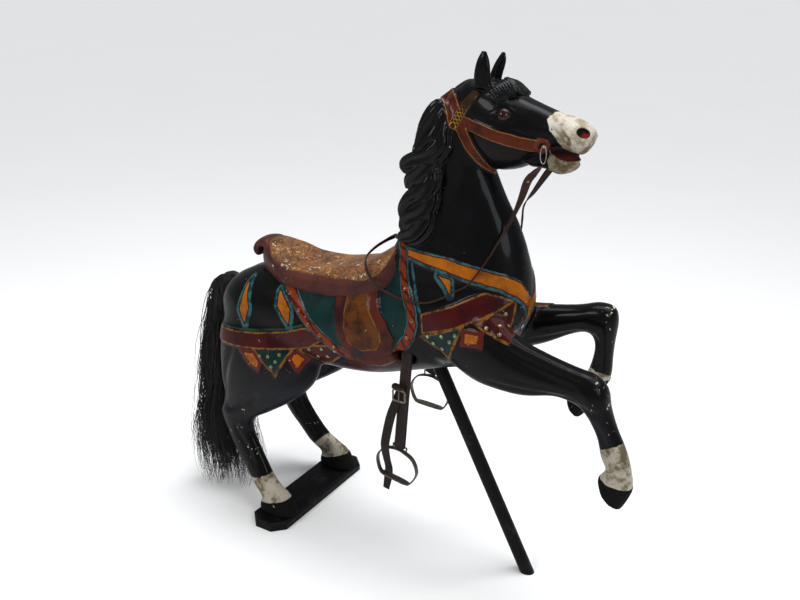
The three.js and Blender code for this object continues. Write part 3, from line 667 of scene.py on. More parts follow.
    def outermost(self, along, height, hand):
        """Place and normal of the surface at a point of the unrolled flank."""
        chart = unrolled(self.places)
        gap = np.hypot(chart[:, 0] - along, chart[:, 1] - height)
        gap = gap + 1000 * (self.places[:, 1] * hand < 0)
        near = np.flatnonzero(gap < gap.min() + 5)
        chosen = near[np.argmax(np.abs(self.places[near, 1]))]
        return self.places[chosen], self.normals()[chosen]

    def piece(self, name, material, fields):
        """The finished wood, with a named value at each vertex for the paint to read."""
        made = new_piece(name, (self.places, self.quads.tolist()), material,
            "horse")
        for field, values in fields.items():
            layer = made.data.attributes.new(field, "FLOAT", "POINT")
            layer.data.foreach_set("value", np.asarray(values, np.float32))


def new_mesh(name, places, edges=(), faces=()):
    """A mesh in metres from places in millimetres."""
    mesh = bpy.data.meshes.new(name)
    mesh.from_pydata((np.asarray(places, float) * MM).tolist(), edges, faces)
    return mesh


def in_scene(name, data):
    """A new object with the data, at the origin."""
    made = bpy.data.objects.new(name, data)
    bpy.context.scene.collection.objects.link(made)
    return made


def new_piece(name, shell, material, node=None, smooth=True):
    """A piece from a shell in millimetres, riding on the horse in place of a CAD node."""
    verts, faces = shell
    mesh = new_mesh(name, verts, faces=faces)
    mesh.update()
    if smooth:
        mesh.shade_smooth()
    mesh.materials.append(material)
    made = in_scene(name, mesh)
    face_outwards(mesh)
    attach(made, "root")
    if node:
        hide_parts(node)
    return made


def face_outwards(mesh):
    """Turns each closed part of a mesh so that its faces point out."""
    work = bmesh.new()
    work.from_mesh(mesh)
    bmesh.ops.recalc_face_normals(work, faces=work.faces)
    work.to_mesh(mesh)
    work.free()


# ---- paint: shader trees written as expressions ----

def maths(operation, swapped=False):
    """A Python operator that becomes a maths node."""
    def node(self, *others):
        return self.math(operation, *((*others, self) if swapped else (self, *others)))
    return node


class Signal:
    """A socket of a shader tree that can be used in arithmetic."""

    def __init__(self, tree, socket):
        self.tree = tree
        self.socket = socket

    def math(self, operation, *values):
        inputs = dict(enumerate(values))
        return self.tree.node("ShaderNodeMath", {"operation": operation}, inputs)["Value"]

    __add__ = __radd__ = maths("ADD")
    __sub__, __rsub__ = maths("SUBTRACT"), maths("SUBTRACT", swapped=True)
    __mul__ = __rmul__ = maths("MULTIPLY")
    __truediv__, __pow__, __abs__ = maths("DIVIDE"), maths("POWER"), maths("ABSOLUTE")


class Outputs:
    """The output sockets of one node, by name."""

    def __init__(self, tree, node):
        self.tree = tree
        self.node = node

    def __getitem__(self, name):
        for socket in self.node.outputs:
            if socket.name == name and socket.enabled:
                return Signal(self.tree, socket)
        raise KeyError(name)


class Paint:
    """One material's shader tree, with the nodes that its finish is written in."""

    def __init__(self, name):
        self.material = bpy.data.materials.new(name)
        self.material.use_nodes = True
        self.nodes = self.material.node_tree.nodes
        self.links = self.material.node_tree.links
        self.nodes.clear()
        self.coat = self.nodes.new("ShaderNodeBsdfPrincipled")
        surface = self.nodes.new("ShaderNodeOutputMaterial")
        self.links.new(self.coat.outputs["BSDF"], surface.inputs["Surface"])
        self.place = self.node("ShaderNodeTexCoord")["Object"]

    def node(self, kind, settings=(), inputs=()):
        made = self.nodes.new(kind)
        for key, value in dict(settings).items():
            setattr(made, key, value)
        for key, value in dict(inputs).items():
            self.feed(made.inputs[key], value)
        return Outputs(self, made)

    def feed(self, socket, value):
        if isinstance(value, Signal):
            self.links.new(value.socket, socket)
        elif socket.type == "RGBA" and len(value) == 3:
            socket.default_value = (*value, 1)
        else:
            socket.default_value = value

    def shade(self, **sockets):
        """Feeds the shader's sockets, named with underscores for spaces."""
        for name, value in sockets.items():
            self.feed(self.coat.inputs[name.replace("_", " ")], value)
        return self.material

    def field(self, name):
        return self.node("ShaderNodeAttribute", {"attribute_name": name})["Fac"]

    def noise(self, scale, detail=4.0, roughness=0.5, place=None):
        return self.node("ShaderNodeTexNoise", (), {"Vector": place or self.place, "Scale": scale,
            "Detail": detail, "Roughness": roughness})["Fac"]

    def cells(self, scale, feature="DISTANCE_TO_EDGE"):
        return self.node("ShaderNodeTexVoronoi", {"feature": feature},
            {"Vector": self.place, "Scale": scale})["Distance"]

    def wave(self, scale, distortion):
        return self.node("ShaderNodeTexWave", {"bands_direction": "DIAGONAL"},
            {"Vector": self.place, "Scale": scale, "Distortion": distortion,
            "Detail Scale": 2.0})["Fac"]

    def stretched(self, x, y, z):
        """Object coordinates scaled, for grain that runs one way."""
        return self.node("ShaderNodeMapping", (), {"Vector": self.place,
            "Scale": (x, y, z)})["Vector"]

    def axis(self, name):
        return self.node("ShaderNodeSeparateXYZ", (), {"Vector": self.place})[name]

    def step(self, low, high, value):
        """0 below low, 1 above high and smooth between them."""
        return self.node("ShaderNodeMapRange", {"interpolation_type": "SMOOTHSTEP"},
            {"Value": value, "From Min": low, "From Max": high})["Result"]

    def patches(self, low, high, *grain):
        """The places where a noise of that grain rises from low to high."""
        return self.step(low, high, self.noise(*grain))

    def blend(self, kind, factor, first, second):
        made = self.nodes.new("ShaderNodeMix")
        made.data_type, made.blend_type = "RGBA", kind
        for number, value in ((0, factor), (6, first), (7, second)):
            self.feed(made.inputs[number], value)
        return Signal(self, made.outputs[2])

    def mix(self, factor, first, second):
        """Colour first, turning into second as factor goes from 0 to 1."""
        return self.blend("MIX", factor, first, second)

    def mottled(self, first, second, low, high, *grain, share=None):
        """Colour first with patches of second."""
        patches = self.patches(low, high, *grain)
        return self.mix(patches if share is None else patches * share, first, second)

    def shaded(self, tone, amount):
        """A colour made lighter or darker by a number round 1."""
        return self.blend("MULTIPLY", 1.0, tone, amount)

    def bump(self, height, distance):
        return self.node("ShaderNodeBump", (), {"Height": height, "Distance": distance,
            "Strength": 1.0})["Normal"]


def settings():
    return bpy.context.scene.carousel_horse


BLACK_SPECULAR = 0.05  # the old gloss paint reflects less than a fresh coat would


def old_paint(paint, base, shine, wear, scuffed=0.0):
    """Finishes a painted surface: uneven brushwork, crackle, chips and dirt over a base colour."""
    bare_wood = linear(206, 190, 164)
    cloudy = paint.noise(9, 5, 0.6)
    fine = paint.noise(70, 3, 0.6)
    tone = paint.shaded(base, 0.66 + cloudy * 0.4 + fine * 0.24)
    crackle = paint.cells(150)
    cracks = paint.step(0.03, 0.0, crackle) * paint.patches(0.5, 0.62, 6, 3)
    chip_noise = paint.noise(46, 7, 0.72) + scuffed * 0.06
    chips = paint.step(wear, wear + 0.01, chip_noise)
    chips = chips * paint.step(0.5, 0.58, paint.noise(5.5, 3, 0.6) + scuffed * 0.25)
    tone = paint.mix(cracks * 0.55, tone, linear(20, 16, 14))
    tone = paint.mix(chips, tone, bare_wood)
    rough = shine + fine * 0.14 + cloudy * 0.14 + chips * 0.3
    height = cloudy * 0.5 + fine * 0.16 - cracks * 0.25 - chips * 0.4
    return tone, rough, height


def horse_black(paint, colours):
    """Black gloss with a cool bloom, painted as a bluish sheen in patches where it has been
    polished by hands.
    """
    # painted sheen: bluish lighter patches on the black, partly bloom of the old gloss
    bloom = paint.patches(0.45, 0.75, 3.2, 4, 0.55)
    smears = paint.step(0.55, 0.75, paint.noise(1.0, 5, 0.65, place=paint.stretched(14, 14, 5)))
    tone = paint.mix(bloom * 0.3, colours.black, linear(16, 18, 24))
    return paint.mix(smears * 0.2, tone, linear(22, 21, 23))


def layered(paint, base, layers):
    """Lays colours over a base, each given as a mask and a colour."""
    for mask, tone in layers:
        base = paint.mix(mask, base, tone)
    return base


def stripes(paint, distance, *bands, blur=0.0005):
    """Layers of colour, each from a given distance inwards."""
    return [(paint.step(at - blur, at + blur, distance), tone) for at, tone in bands]


def edged(paint, distance, inner, edge, edge_width, outside=0.0):
    """Layers for a field of signed distance: its edge colour, then its inner colour."""
    bands = ((-outside, edge), (edge_width - outside, inner))
    return stripes(paint, distance, *bands, blur=0.0006)


def body_paint():
    """Black coat, painted harness, worn belly and white socks, with a painted floor reflection on
    the underside and painted shade in the leather slots.
    """
    colours = settings().paint
    paint = Paint("painted_body")
    wobble = (paint.noise(38, 3, 0.5) - 0.5) * 0.006
    field = {name: paint.field(name) + wobble for name in (*OUTLINES, "collar_line")}
    teal = paint.mottled(colours.teal, linear(6, 24, 24), 0.4, 0.66, 14, 5, 0.65)
    piping = paint.mottled(colours.pale_teal, linear(10, 40, 46), 0.42, 0.62, 40, 5, 0.7)
    maroon = paint.mottled(colours.maroon, linear(36, 9, 11), 0.38, 0.68, 11, 5, 0.6)
    ochre = paint.mottled(colours.ochre, linear(106, 58, 16), 0.4, 0.72, 17, 6, 0.65)
    ochre = paint.mottled(ochre, linear(78, 52, 26), 0.62, 0.7, 34, 6, 0.7, share=0.6)
    gold = paint.mottled(colours.gold, linear(54, 37, 18), 0.44, 0.6, 50, 5, 0.7)
    strokes = paint.wave(15, 3.0)
    orange = paint.mix(paint.step(0.70, 0.88, strokes), colours.orange, linear(52, 14, 9))
    orange = paint.mottled(orange, linear(88, 27, 11), 0.48, 0.66, 26, 6, 0.65, share=0.6)
    green = paint.mottled(colours.green, linear(12, 36, 28), 0.45, 0.65, 24, 4)
    flap_red = paint.mottled(linear(74, 29, 18), linear(42, 18, 14), 0.4, 0.65, 16, 6, 0.6)
    panel = paint.mottled(linear(86, 46, 14), linear(48, 25, 10), 0.42, 0.66, 22, 6, 0.65)
    dark = linear(12, 10, 12)
    belly = paint.mottled(linear(26, 28, 35), linear(62, 28, 22), 0.42, 0.58, 13, 6, 0.65)
    # painted reflection: surfaces that face down get a paler slate blue, standing for the pale
    # floor reflected in the gloss
    painted_floor_reflection = paint.mottled(linear(16, 17, 21), linear(26, 29, 37), 0.4, 0.7, 7, 5, 0.6)
    white = paint.mottled(linear(164, 156, 140), linear(92, 82, 64), 0.46, 0.64, 24, 6, 0.65)
    base = paint.mix(paint.field("underside"), horse_black(paint, colours), painted_floor_reflection)
    layers = [(paint.step(0.35, 0.75, paint.field("belly") + (paint.noise(9, 5, 0.6) - 0.5)),
        belly)]
    layers += edged(paint, field["green_strip"], green, dark, 0.003)
    layers += edged(paint, field["diamond"], dark, piping, 0.0115, 0.015)
    layers += [(paint.step(-0.0005, 0.0008, field["diamond"]), ochre)]
    layers += edged(paint, field["green_tab"], teal, gold, 0.008)
    layers += edged(paint, field["ochre_tab"], ochre, linear(78, 26, 18), 0.012)
    layers += edged(paint, field["dark_tab"], maroon, gold, 0.0065)
    layers += edged(paint, field["band"], maroon, gold, 0.0055)
    layers += stripes(paint, field["collar"], (-0.012, dark), (-0.01, piping),
        (-0.002, linear(66, 16, 14)), (0.0015, ochre))
    layers += edged(paint, field["collar_line"], piping, dark, 0.0025)
    trim = 0.0135 - abs(field["blanket"])
    layers += stripes(paint, field["blanket"], (0.0, teal), blur=0.001)
    layers += stripes(paint, trim, (-0.006, dark), (-0.004, piping), (0.0, dark), (0.0017, orange))
    layers += edged(paint, field["flap"], flap_red, dark, 0.003)
    layers += edged(paint, field["flap_panel"], panel, gold, 0.004)
    worn = paint.step(0.2, 0.8, paint.field("rubbed") + (paint.noise(12, 6, 0.65) - 0.5) * 0.8)
    # painted shade: the hollow leather slots are painted near-black inside
    layers += [(worn * 0.75, belly), (paint.field("slot"), linear(7, 6, 6))]
    base = layered(paint, base, layers)
    sock = paint.field("sock") + (paint.noise(34, 5, 0.6) - 0.5) * 0.03
    sock_mask = paint.step(-0.001, 0.002, sock)
    base = paint.mix(sock_mask, base, white)
    hoof = paint.step(-0.001, 0.001, paint.field("hoof") + (paint.noise(30, 3) - 0.5) * 0.006)
    base = paint.mix(hoof, base, linear(17, 16, 17))
    tone, rough, height = old_paint(paint, base, 0.22, 0.662, paint.field("scuffed"))
    flat_paint = paint.step(0.0, 0.01, field["blanket"]) * 0.1 + sock_mask * 0.3 + hoof * 0.12
    return paint.shade(Base_Color=tone, Roughness=rough + flat_paint,
        Specular_IOR_Level=BLACK_SPECULAR, Coat_Weight=0.1 * (1 - sock_mask), Coat_Roughness=0.07,
        Normal=paint.bump(height + sock_mask * paint.noise(120, 3) * 0.4, 0.0016))


def head_paint():
    """Black coat and mane, painted bridle, worn white muzzle and red mouth, with painted shade in
    the mouth and nostrils.
    """
    colours = settings().paint
    paint = Paint("painted_head")
    wobble = (paint.noise(45, 3, 0.5) - 0.5) * 0.004
    leather = paint.mottled(colours.leather, linear(46, 17, 8), 0.38, 0.66, 22, 6, 0.68)
    leather = paint.mottled(leather, linear(122, 62, 24), 0.58, 0.7, 48, 5, 0.7, share=0.5)
    leather_edge = linear(40, 16, 10)
    piping = linear(120, 84, 40)
    white = paint.mottled(colours.white, linear(146, 132, 104), 0.44, 0.64, 30, 7, 0.65)
    # The white is made darker towards the bottom of the muzzle, and in patches lower down.
    lower_darkening = paint.step(1.375, 1.30, paint.axis("Z")) * 0.75 + paint.patches(0.42, 0.72, 26, 6,
        0.7) * paint.step(1.41, 1.34, paint.axis("Z"))
    white = paint.mix(lower_darkening * 0.85, white, linear(84, 74, 50))
    # painted shade and old dirt: the white turns darker brown in the creases
    white = paint.mix(paint.step(0.15, 0.9, paint.field("fold")) * 0.8, white, linear(74, 54, 26))
    white = paint.mottled(white, linear(36, 31, 26), 0.62, 0.67, 48, 8, 0.7)
    base = horse_black(paint, colours)
    muzzle = paint.field("muzzle") + (paint.noise(32, 5, 0.65) - 0.5) * 0.03
    white_mask = paint.step(-0.001, 0.0015, muzzle)
    base = paint.mix(white_mask, base, white)
    # painted shade: inside the mouth is near-black up under the upper lip and red lower down
    inside = paint.mix(paint.step(1.312, 1.300, paint.axis("Z")), linear(12, 5, 5),
        linear(62, 17, 14))
    inside = paint.mottled(inside, linear(32, 9, 8), 0.4, 0.65, 50, 4)
    base = paint.mix(paint.step(0.3, 0.6, paint.field("mouth")), base, inside)
    # painted shade: the nostril hole is near-black, with its red lining showing lower down and
    # further forward
    hole = paint.field("nostril")
    base = paint.mix(paint.step(0.12, 0.3, hole), base, linear(14, 10, 9))
    flesh = paint.step(0.5, 0.85, hole * 0.56 + (paint.axis("X") - 0.924) * 25
        - (paint.axis("Z") - 1.369) * 35 + (paint.noise(90, 4) - 0.5) * 0.5)
    base = paint.mix(flesh * paint.step(0.2, 0.4, hole), base, linear(104, 16, 20))
    strap_field = paint.field("bridle") + wobble
    panel = paint.field("brow_panel") + wobble
    along, across = paint.field("panel_along"), paint.field("panel_across")
    reach = (along.math("PINGPONG", along, 0.012) / 0.012 - 0.5) * 0.019
    lines = paint.step(0.0021, 0.0011, abs(across - reach)) + paint.step(0.0021, 0.0011,
        abs(across + reach))
    # The tooled lines and the piping show only on the lower part of the brow panel; its top is
    # plain dark brown.
    lower_tooling = paint.step(0.07, 0.035, along) * 0.85
    tooled = paint.mix(paint.step(0.5, 0.9, lines) * lower_tooling, linear(40, 26, 12),
        linear(164, 116, 30))
    bridle = [(paint.step(-0.0015, 0.0, strap_field), leather_edge),
        (paint.step(0.0012, 0.0020, strap_field), piping), (paint.step(0.0028, 0.0038, strap_field),
        leather), (paint.step(-0.001, 0.0005, panel), leather_edge),
        (paint.step(0.0008, 0.0016, panel) * paint.step(0.085, 0.05, along), piping),
        (paint.step(0.0022, 0.0032, panel), tooled)]
    base = layered(paint, base, bridle)
    boss = paint.field("boss")
    base = paint.mix(paint.step(-0.001, 0.0005, boss), base, linear(88, 34, 22))
    base = paint.mix(paint.step(0.0115, 0.0125, boss), base, linear(26, 13, 10))
    lid = paint.step(0.3, 0.8, paint.field("lid"))
    base = paint.mix(lid * 0.7, base, linear(20, 15, 13))
    tone, rough, height = old_paint(paint, base, 0.22, 0.69)
    hair = paint.field("hair")
    strands = paint.noise(1.0, 5, 0.6, place=paint.stretched(60, 220, 34))
    height = height + hair * strands * 0.5
    return paint.shade(Base_Color=tone, Roughness=rough + white_mask * 0.3 + hair * 0.02,
        Specular_IOR_Level=BLACK_SPECULAR, Coat_Weight=(0.1 + hair * 0.09) * (1 - white_mask),
        Coat_Roughness=0.07, Normal=paint.bump(height, 0.0016))


def saddle_paint():
    """Crackled tan seat with a rubbed red-brown edge."""
    colours = settings().paint
    paint = Paint("painted_saddle")
    tan = paint.mottled(colours.saddle_tan, linear(84, 54, 34), 0.36, 0.7, 16, 7, 0.65)
    tan = paint.mottled(tan, linear(206, 166, 108), 0.55, 0.68, 44, 7, 0.72, share=0.75)
    red = paint.mottled(colours.saddle_red, linear(48, 19, 15), 0.36, 0.66, 15, 6, 0.6)
    red = paint.mottled(red, linear(110, 60, 34), 0.56, 0.68, 30, 6, 0.7, share=0.5)
    seat = paint.field("seat") + (paint.noise(20, 4, 0.6) - 0.5) * 0.012
    seat_mask = paint.step(-0.003, 0.004, seat)
    base = paint.mix(seat_mask, red, tan)
    base = paint.mix(paint.step(0.005, 0.0, abs(seat)) * 0.6, base, linear(56, 26, 16))
    crack = paint.cells(120)
    wide_crack = paint.cells(46)
    lines = paint.step(0.08, 0.01, crack) * paint.patches(0.36, 0.5, 10, 4)
    lines = lines + paint.step(0.04, 0.0, wide_crack) * 0.9
    lines = lines * (0.2 + 0.8 * seat_mask)
    base = paint.mix(lines * 0.72, base, linear(46, 25, 14))
    tone, rough, height = old_paint(paint, base, 0.38, 0.64, seat_mask * 0.5)
    height = height - lines * 0.7
    return paint.shade(Base_Color=tone, Roughness=rough, Specular_IOR_Level=0.16, Coat_Weight=0.08,
        Coat_Roughness=0.3, Normal=paint.bump(height, 0.0026))


def stand_paint(name, grain):
    """Satin black of the board and pole, scuffed to grey and brown."""
    paint = Paint(name)
    scuff = paint.patches(0.56, 0.68, 18, 7, 0.7)
    long_grain = paint.noise(1.0, 6, 0.6, place=paint.stretched(*grain))
    base = paint.mix(scuff * 0.4, linear(13, 13, 15), linear(50, 48, 50))
    base = paint.mottled(base, linear(88, 68, 50), 0.66, 0.7, 30, 8, 0.75)
    base = paint.shaded(base, 0.7 + long_grain * 0.6)
    return paint.shade(Base_Color=base, Roughness=0.36 + scuff * 0.3 + long_grain * 0.1,
        Specular_IOR_Level=BLACK_SPECULAR, Coat_Weight=0.06, Coat_Roughness=0.3,
        Normal=paint.bump(long_grain + scuff * 0.3, 0.0014))


def worn_leather(name, tone, edge):
    """Strap leather: pores, creases across the strap and paler rubbed patches."""
    paint = Paint(name)
    pores = paint.cells(900, "F1")
    creases = paint.noise(60, 5, 0.65, place=paint.stretched(1, 1, 3))
    rubbed = paint.patches(0.5, 0.72, 28, 6, 0.65)
    base = paint.mix(rubbed * 0.55, tone, edge)
    base = paint.shaded(base, 0.7 + creases * 0.6)
    height = creases * 0.7 + pores * 0.35
    return paint.shade(Base_Color=base, Roughness=0.46 + rubbed * 0.18 + pores * 0.1,
        Specular_IOR_Level=0.16, Normal=paint.bump(height, 0.0007))


def old_iron(name, tone, rust):
    """Dull forged iron with brown bloom."""
    paint = Paint(name)
    bloom = paint.patches(0.42, 0.66, 60, 6, 0.7)
    pits = paint.noise(320, 4, 0.6)
    base = paint.mix(bloom, tone, rust)
    base = paint.shaded(base, 0.75 + pits * 0.5)
    return paint.shade(Base_Color=base, Metallic=0.9 - bloom * 0.5, Roughness=0.34 + bloom * 0.3,
        Normal=paint.bump(pits * 0.6 + bloom * 0.4, 0.0006))


def horsehair():
    """Near-black hair with a brown cast and a soft shine."""
    paint = Paint("horsehair")
    streak = paint.noise(1.0, 4, 0.6, place=paint.stretched(240, 240, 7))
    base = paint.mix(streak, linear(7, 6, 7), linear(26, 21, 18))
    return paint.shade(Base_Color=base, Roughness=0.34 + streak * 0.16, Specular_IOR_Level=0.3,
        Normal=paint.bump(streak, 0.0006))


def glass_eye():
    """Dark brown iris round a wide pupil, under clear glass, with a painted light crescent along
    its lower edge.
    """
    paint = Paint("glass_eye")
    across = paint.axis("X") - EYE_MIDDLE[0] * MM
    over = paint.axis("Z") - EYE_MIDDLE[2] * MM
    ring = ((across * across) * 0.8 + over * over * 1.15) ** 0.5
    rays = paint.noise(260, 3, 0.6)
    iris = paint.mix(rays, linear(46, 16, 8), linear(16, 7, 4))
    base = paint.mix(paint.step(0.0066, 0.0076, ring + rays * 0.001), linear(5, 4, 4), iris)
    # painted light: a paler reddish-brown crescent only along the lower edge of the iris
    base = paint.mix(paint.step(0.0110, 0.0128, ring) * paint.step(0.004, -0.006, over), base,
        linear(60, 22, 15))
    return paint.shade(Base_Color=base, Roughness=0.12 + rays * 0.06, Specular_IOR_Level=0.22)


def jewel_glass(name, tone, depth):
    """Foil-backed cut glass."""
    paint = Paint(name)
    foil = paint.noise(400, 2)
    base = paint.mix(foil, tone, depth)
    return paint.shade(Base_Color=base, Metallic=0.55, Roughness=0.07 + foil * 0.08,
        Coat_Weight=1.0, Coat_Roughness=0.03)


def brass():
    paint = Paint("brass")
    tarnish = paint.noise(180, 4, 0.6)
    base = paint.mix(tarnish, linear(176, 136, 66), linear(84, 62, 34))
    return paint.shade(Base_Color=base, Metallic=0.9, Roughness=0.26 + tarnish * 0.3)


def pale_floor():
    paint = Paint("pale_floor")
    grain = paint.noise(0.8, 3)
    base = paint.shaded(settings().stage.floor, 0.985 + grain * 0.03)
    return paint.shade(Base_Color=base, Roughness=0.8 + grain * 0.05, Specular_IOR_Level=0.2)


# ---- the carved horse ----

# Knees, fetlocks and hocks, where the paint is most chipped, and the side that each is on.
SCUFFED = [((1060, 133, 735), RIGHT), ((1130, 133, 560), RIGHT), ((985, 130, 845), LEFT),
    ((960, 130, 640), LEFT), ((-110, 150, 200), RIGHT), ((-110, 150, 200), LEFT),
    ((-220, 142, 330), RIGHT), ((-220, 142, 330), LEFT), ((780, 40, 860), RIGHT)]


def pole_ends(clearance):
    """Ends of the pole's axis: under the floor, and just short of the bottom of its socket."""
    top, foot = np.array(POLE_TOP, float), np.array(POLE_FOOT, float)
    along = unit(top - foot)
    return foot - POLE_SPARE * along, top + (POLE_SOCKET - clearance) * along


def collar_height(along):
    """Height of the seam between body and neck, just under the collar's upper piping."""
    line = np.array(COLLAR_TOP, float)
    return np.interp(along, line[:, 0], line[:, 1]) + PIPING - 4


# Each groove is [x, z] points, half width, depth (a ridge if below 0) and the side it is on, if
# only one. Each swelling is its middle, reach, height and side.
BODY_STROKES = [
    # thigh, gaskin and hock of both hind legs
    ([[-150, 600], [-185, 520], [-205, 450], [-214, 400]], 13, 6),
    ([[60, 640], [20, 560], [-40, 470], [-90, 400]], 16, 5),
    ([[-60, 452], [-130, 398], [-196, 356]], 10, 9),
    ([[-150, 330], [-160, 290], [-120, 230], [-86, 176]], 7, 5),
    ([[-104, 346], [-128, 322], [-170, 312]], 9, -3),
    ([[-200, 372], [-236, 330], [-226, 300]], 9, -3.5),
    ([[150, 600], [120, 560], [60, 520]], 16, 4),
    # forearm, knee and tendons of the right foreleg
    ([[745, 700], [830, 700], [920, 706], [1000, 712]], 7, 6, RIGHT),
    ([[800, 730], [880, 726], [960, 728]], 6, 4, RIGHT),
    ([[760, 800], [840, 778], [930, 756], [1010, 744]], 11, 4, RIGHT),
    ([[1000, 700], [1040, 690], [1070, 680]], 9, 4.5, RIGHT),
    ([[1058, 660], [1080, 620], [1104, 560]], 7, 5.5, RIGHT),
    ([[1012, 742], [1038, 722], [1044, 690]], 8, -3, RIGHT),
    ([[660, 720], [720, 800], [760, 860]], 16, 6, RIGHT),
    # the left foreleg, drawn up
    ([[770, 738], [840, 760], [910, 790]], 7, 6, LEFT),
    ([[800, 772], [870, 790], [930, 812]], 6, 4, LEFT),
    ([[950, 790], [962, 760], [964, 690]], 8, 5, LEFT),
    ([[660, 720], [710, 790], [745, 850]], 16, 6, LEFT),
    # ribs, shoulder, elbow and breast
    ([[585, 760], [560, 700], [590, 668]], 20, 7),
]
BODY_SWELLINGS = [((70, 165, 600), (60, 60, 60), 5), ((-150, 120, 740), (70, 70, 60), 4),
    ((-30, 130, 790), (60, 50, 30), 3), ((1050, 133, 730), (30, 60, 30), 3.5, RIGHT),
    ((640, 150, 800), (80, 70, 80), 5)]


def body_muscles(skin):
    """Grooves and swellings of the trunk and legs."""
    amount = sum(skin.stroke(*stroke) for stroke in BODY_STROKES)
    amount = amount + sum(skin.swelling(*swelling) for swelling in BODY_SWELLINGS)
    keel, _ = path_distance(skin.places, [[800, 0, 880], [790, 0, 800], [740, 0, 740],
        [690, 0, 700]])
    amount -= 8 * np.exp(-(keel / 17) ** 2)
    spine, _ = path_distance(skin.places, [[-270, 0, 780], [-200, 0, 812], [-120, 0, 845]])
    amount -= 4 * np.exp(-(spine / 15) ** 2)
    return amount


def hoof_and_sock_fields(skin):
    """How far each vertex lies inside a white sock or a black hoof, in millimetres."""
    x, y, z = skin.places.T
    hind = np.where(x < 200, np.where(y < 0, 170 + 0.4 * x, 179 + 0.9 * x) - z, FAR_OUT)
    right_fore = np.where((y < 0) & (x > 1000), 603 - z + 0.45 * (x - 1120), FAR_OUT)
    left_fore = np.where((y > 0) & (x > 850), 674 - z - 0.3 * (x - 960), FAR_OUT)
    sock = np.maximum(hind, np.maximum(right_fore, left_fore))
    hind_hoof = np.where(x < 200, (73 + 0.30 * (x + 5)) - z, FAR_OUT)
    right_hoof = np.where((y < 0) & (x > 1000), 495 - 0.16 * (x - 1090) - z, FAR_OUT)
    left_slant = (x - 946) * 0.55 - (z - 616) * 0.84
    left_hoof = np.where((y > 0) & (x > 850) & (z < 650), left_slant, FAR_OUT)
    return sock, np.maximum(hind_hoof, np.maximum(right_hoof, left_hoof))


def trapping_fields(skin):
    """Signed distance of each vertex to the painted and carved outlines, in millimetres."""
    chart = unrolled(skin.places)
    fields = {name: nearest_outline(chart, outlines) for name, outlines in OUTLINES.items()}
    fields["collar_line"] = 7 - path_distance(chart, COLLAR_LINE)[0]
    x, y, z = skin.places.T
    out = (z < 530) | (x > 810) | ((np.abs(y) < 60) & (z < 760) & (x > -150) & (x < 700))
    return {name: np.where(out, FAR_OUT, distance) for name, distance in fields.items()}


def trapping_relief(fields):
    """How far the trappings stand proud of the coat."""
    def raised(name, height, grow=0.0):
        return height * smoothstep(-3.5, 3.5, fields[name] + grow)
    depth = settings().carving.trapping_relief / MM
    amount = raised("green_strip", 0.5 * depth)
    for name, grow in (("green_tab", 1), ("ochre_tab", 1), ("dark_tab", 1), ("diamond", 12)):
        amount = np.maximum(amount, raised(name, 0.6 * depth, grow))
    for name, grow in (("band", 1), ("collar", PIPING)):
        amount = np.maximum(amount, raised(name, depth, grow))
    amount -= 0.35 * depth * np.exp(-((fields["collar"] + 1) / 2.6) ** 2)
    trim = 13.5 - np.abs(fields["blanket"])
    amount = np.maximum(amount, raised("blanket", 0.5 * depth))
    amount = np.maximum(amount, 1.1 * depth * smoothstep(-4, 4, trim))
    flap = raised("flap", 1.5 * depth) + raised("flap_panel", 0.4 * depth)
    edge = 0.3 * depth * np.exp(-((fields["flap_panel"] - 2) / 4) ** 2)
    return np.maximum(amount, flap + edge)


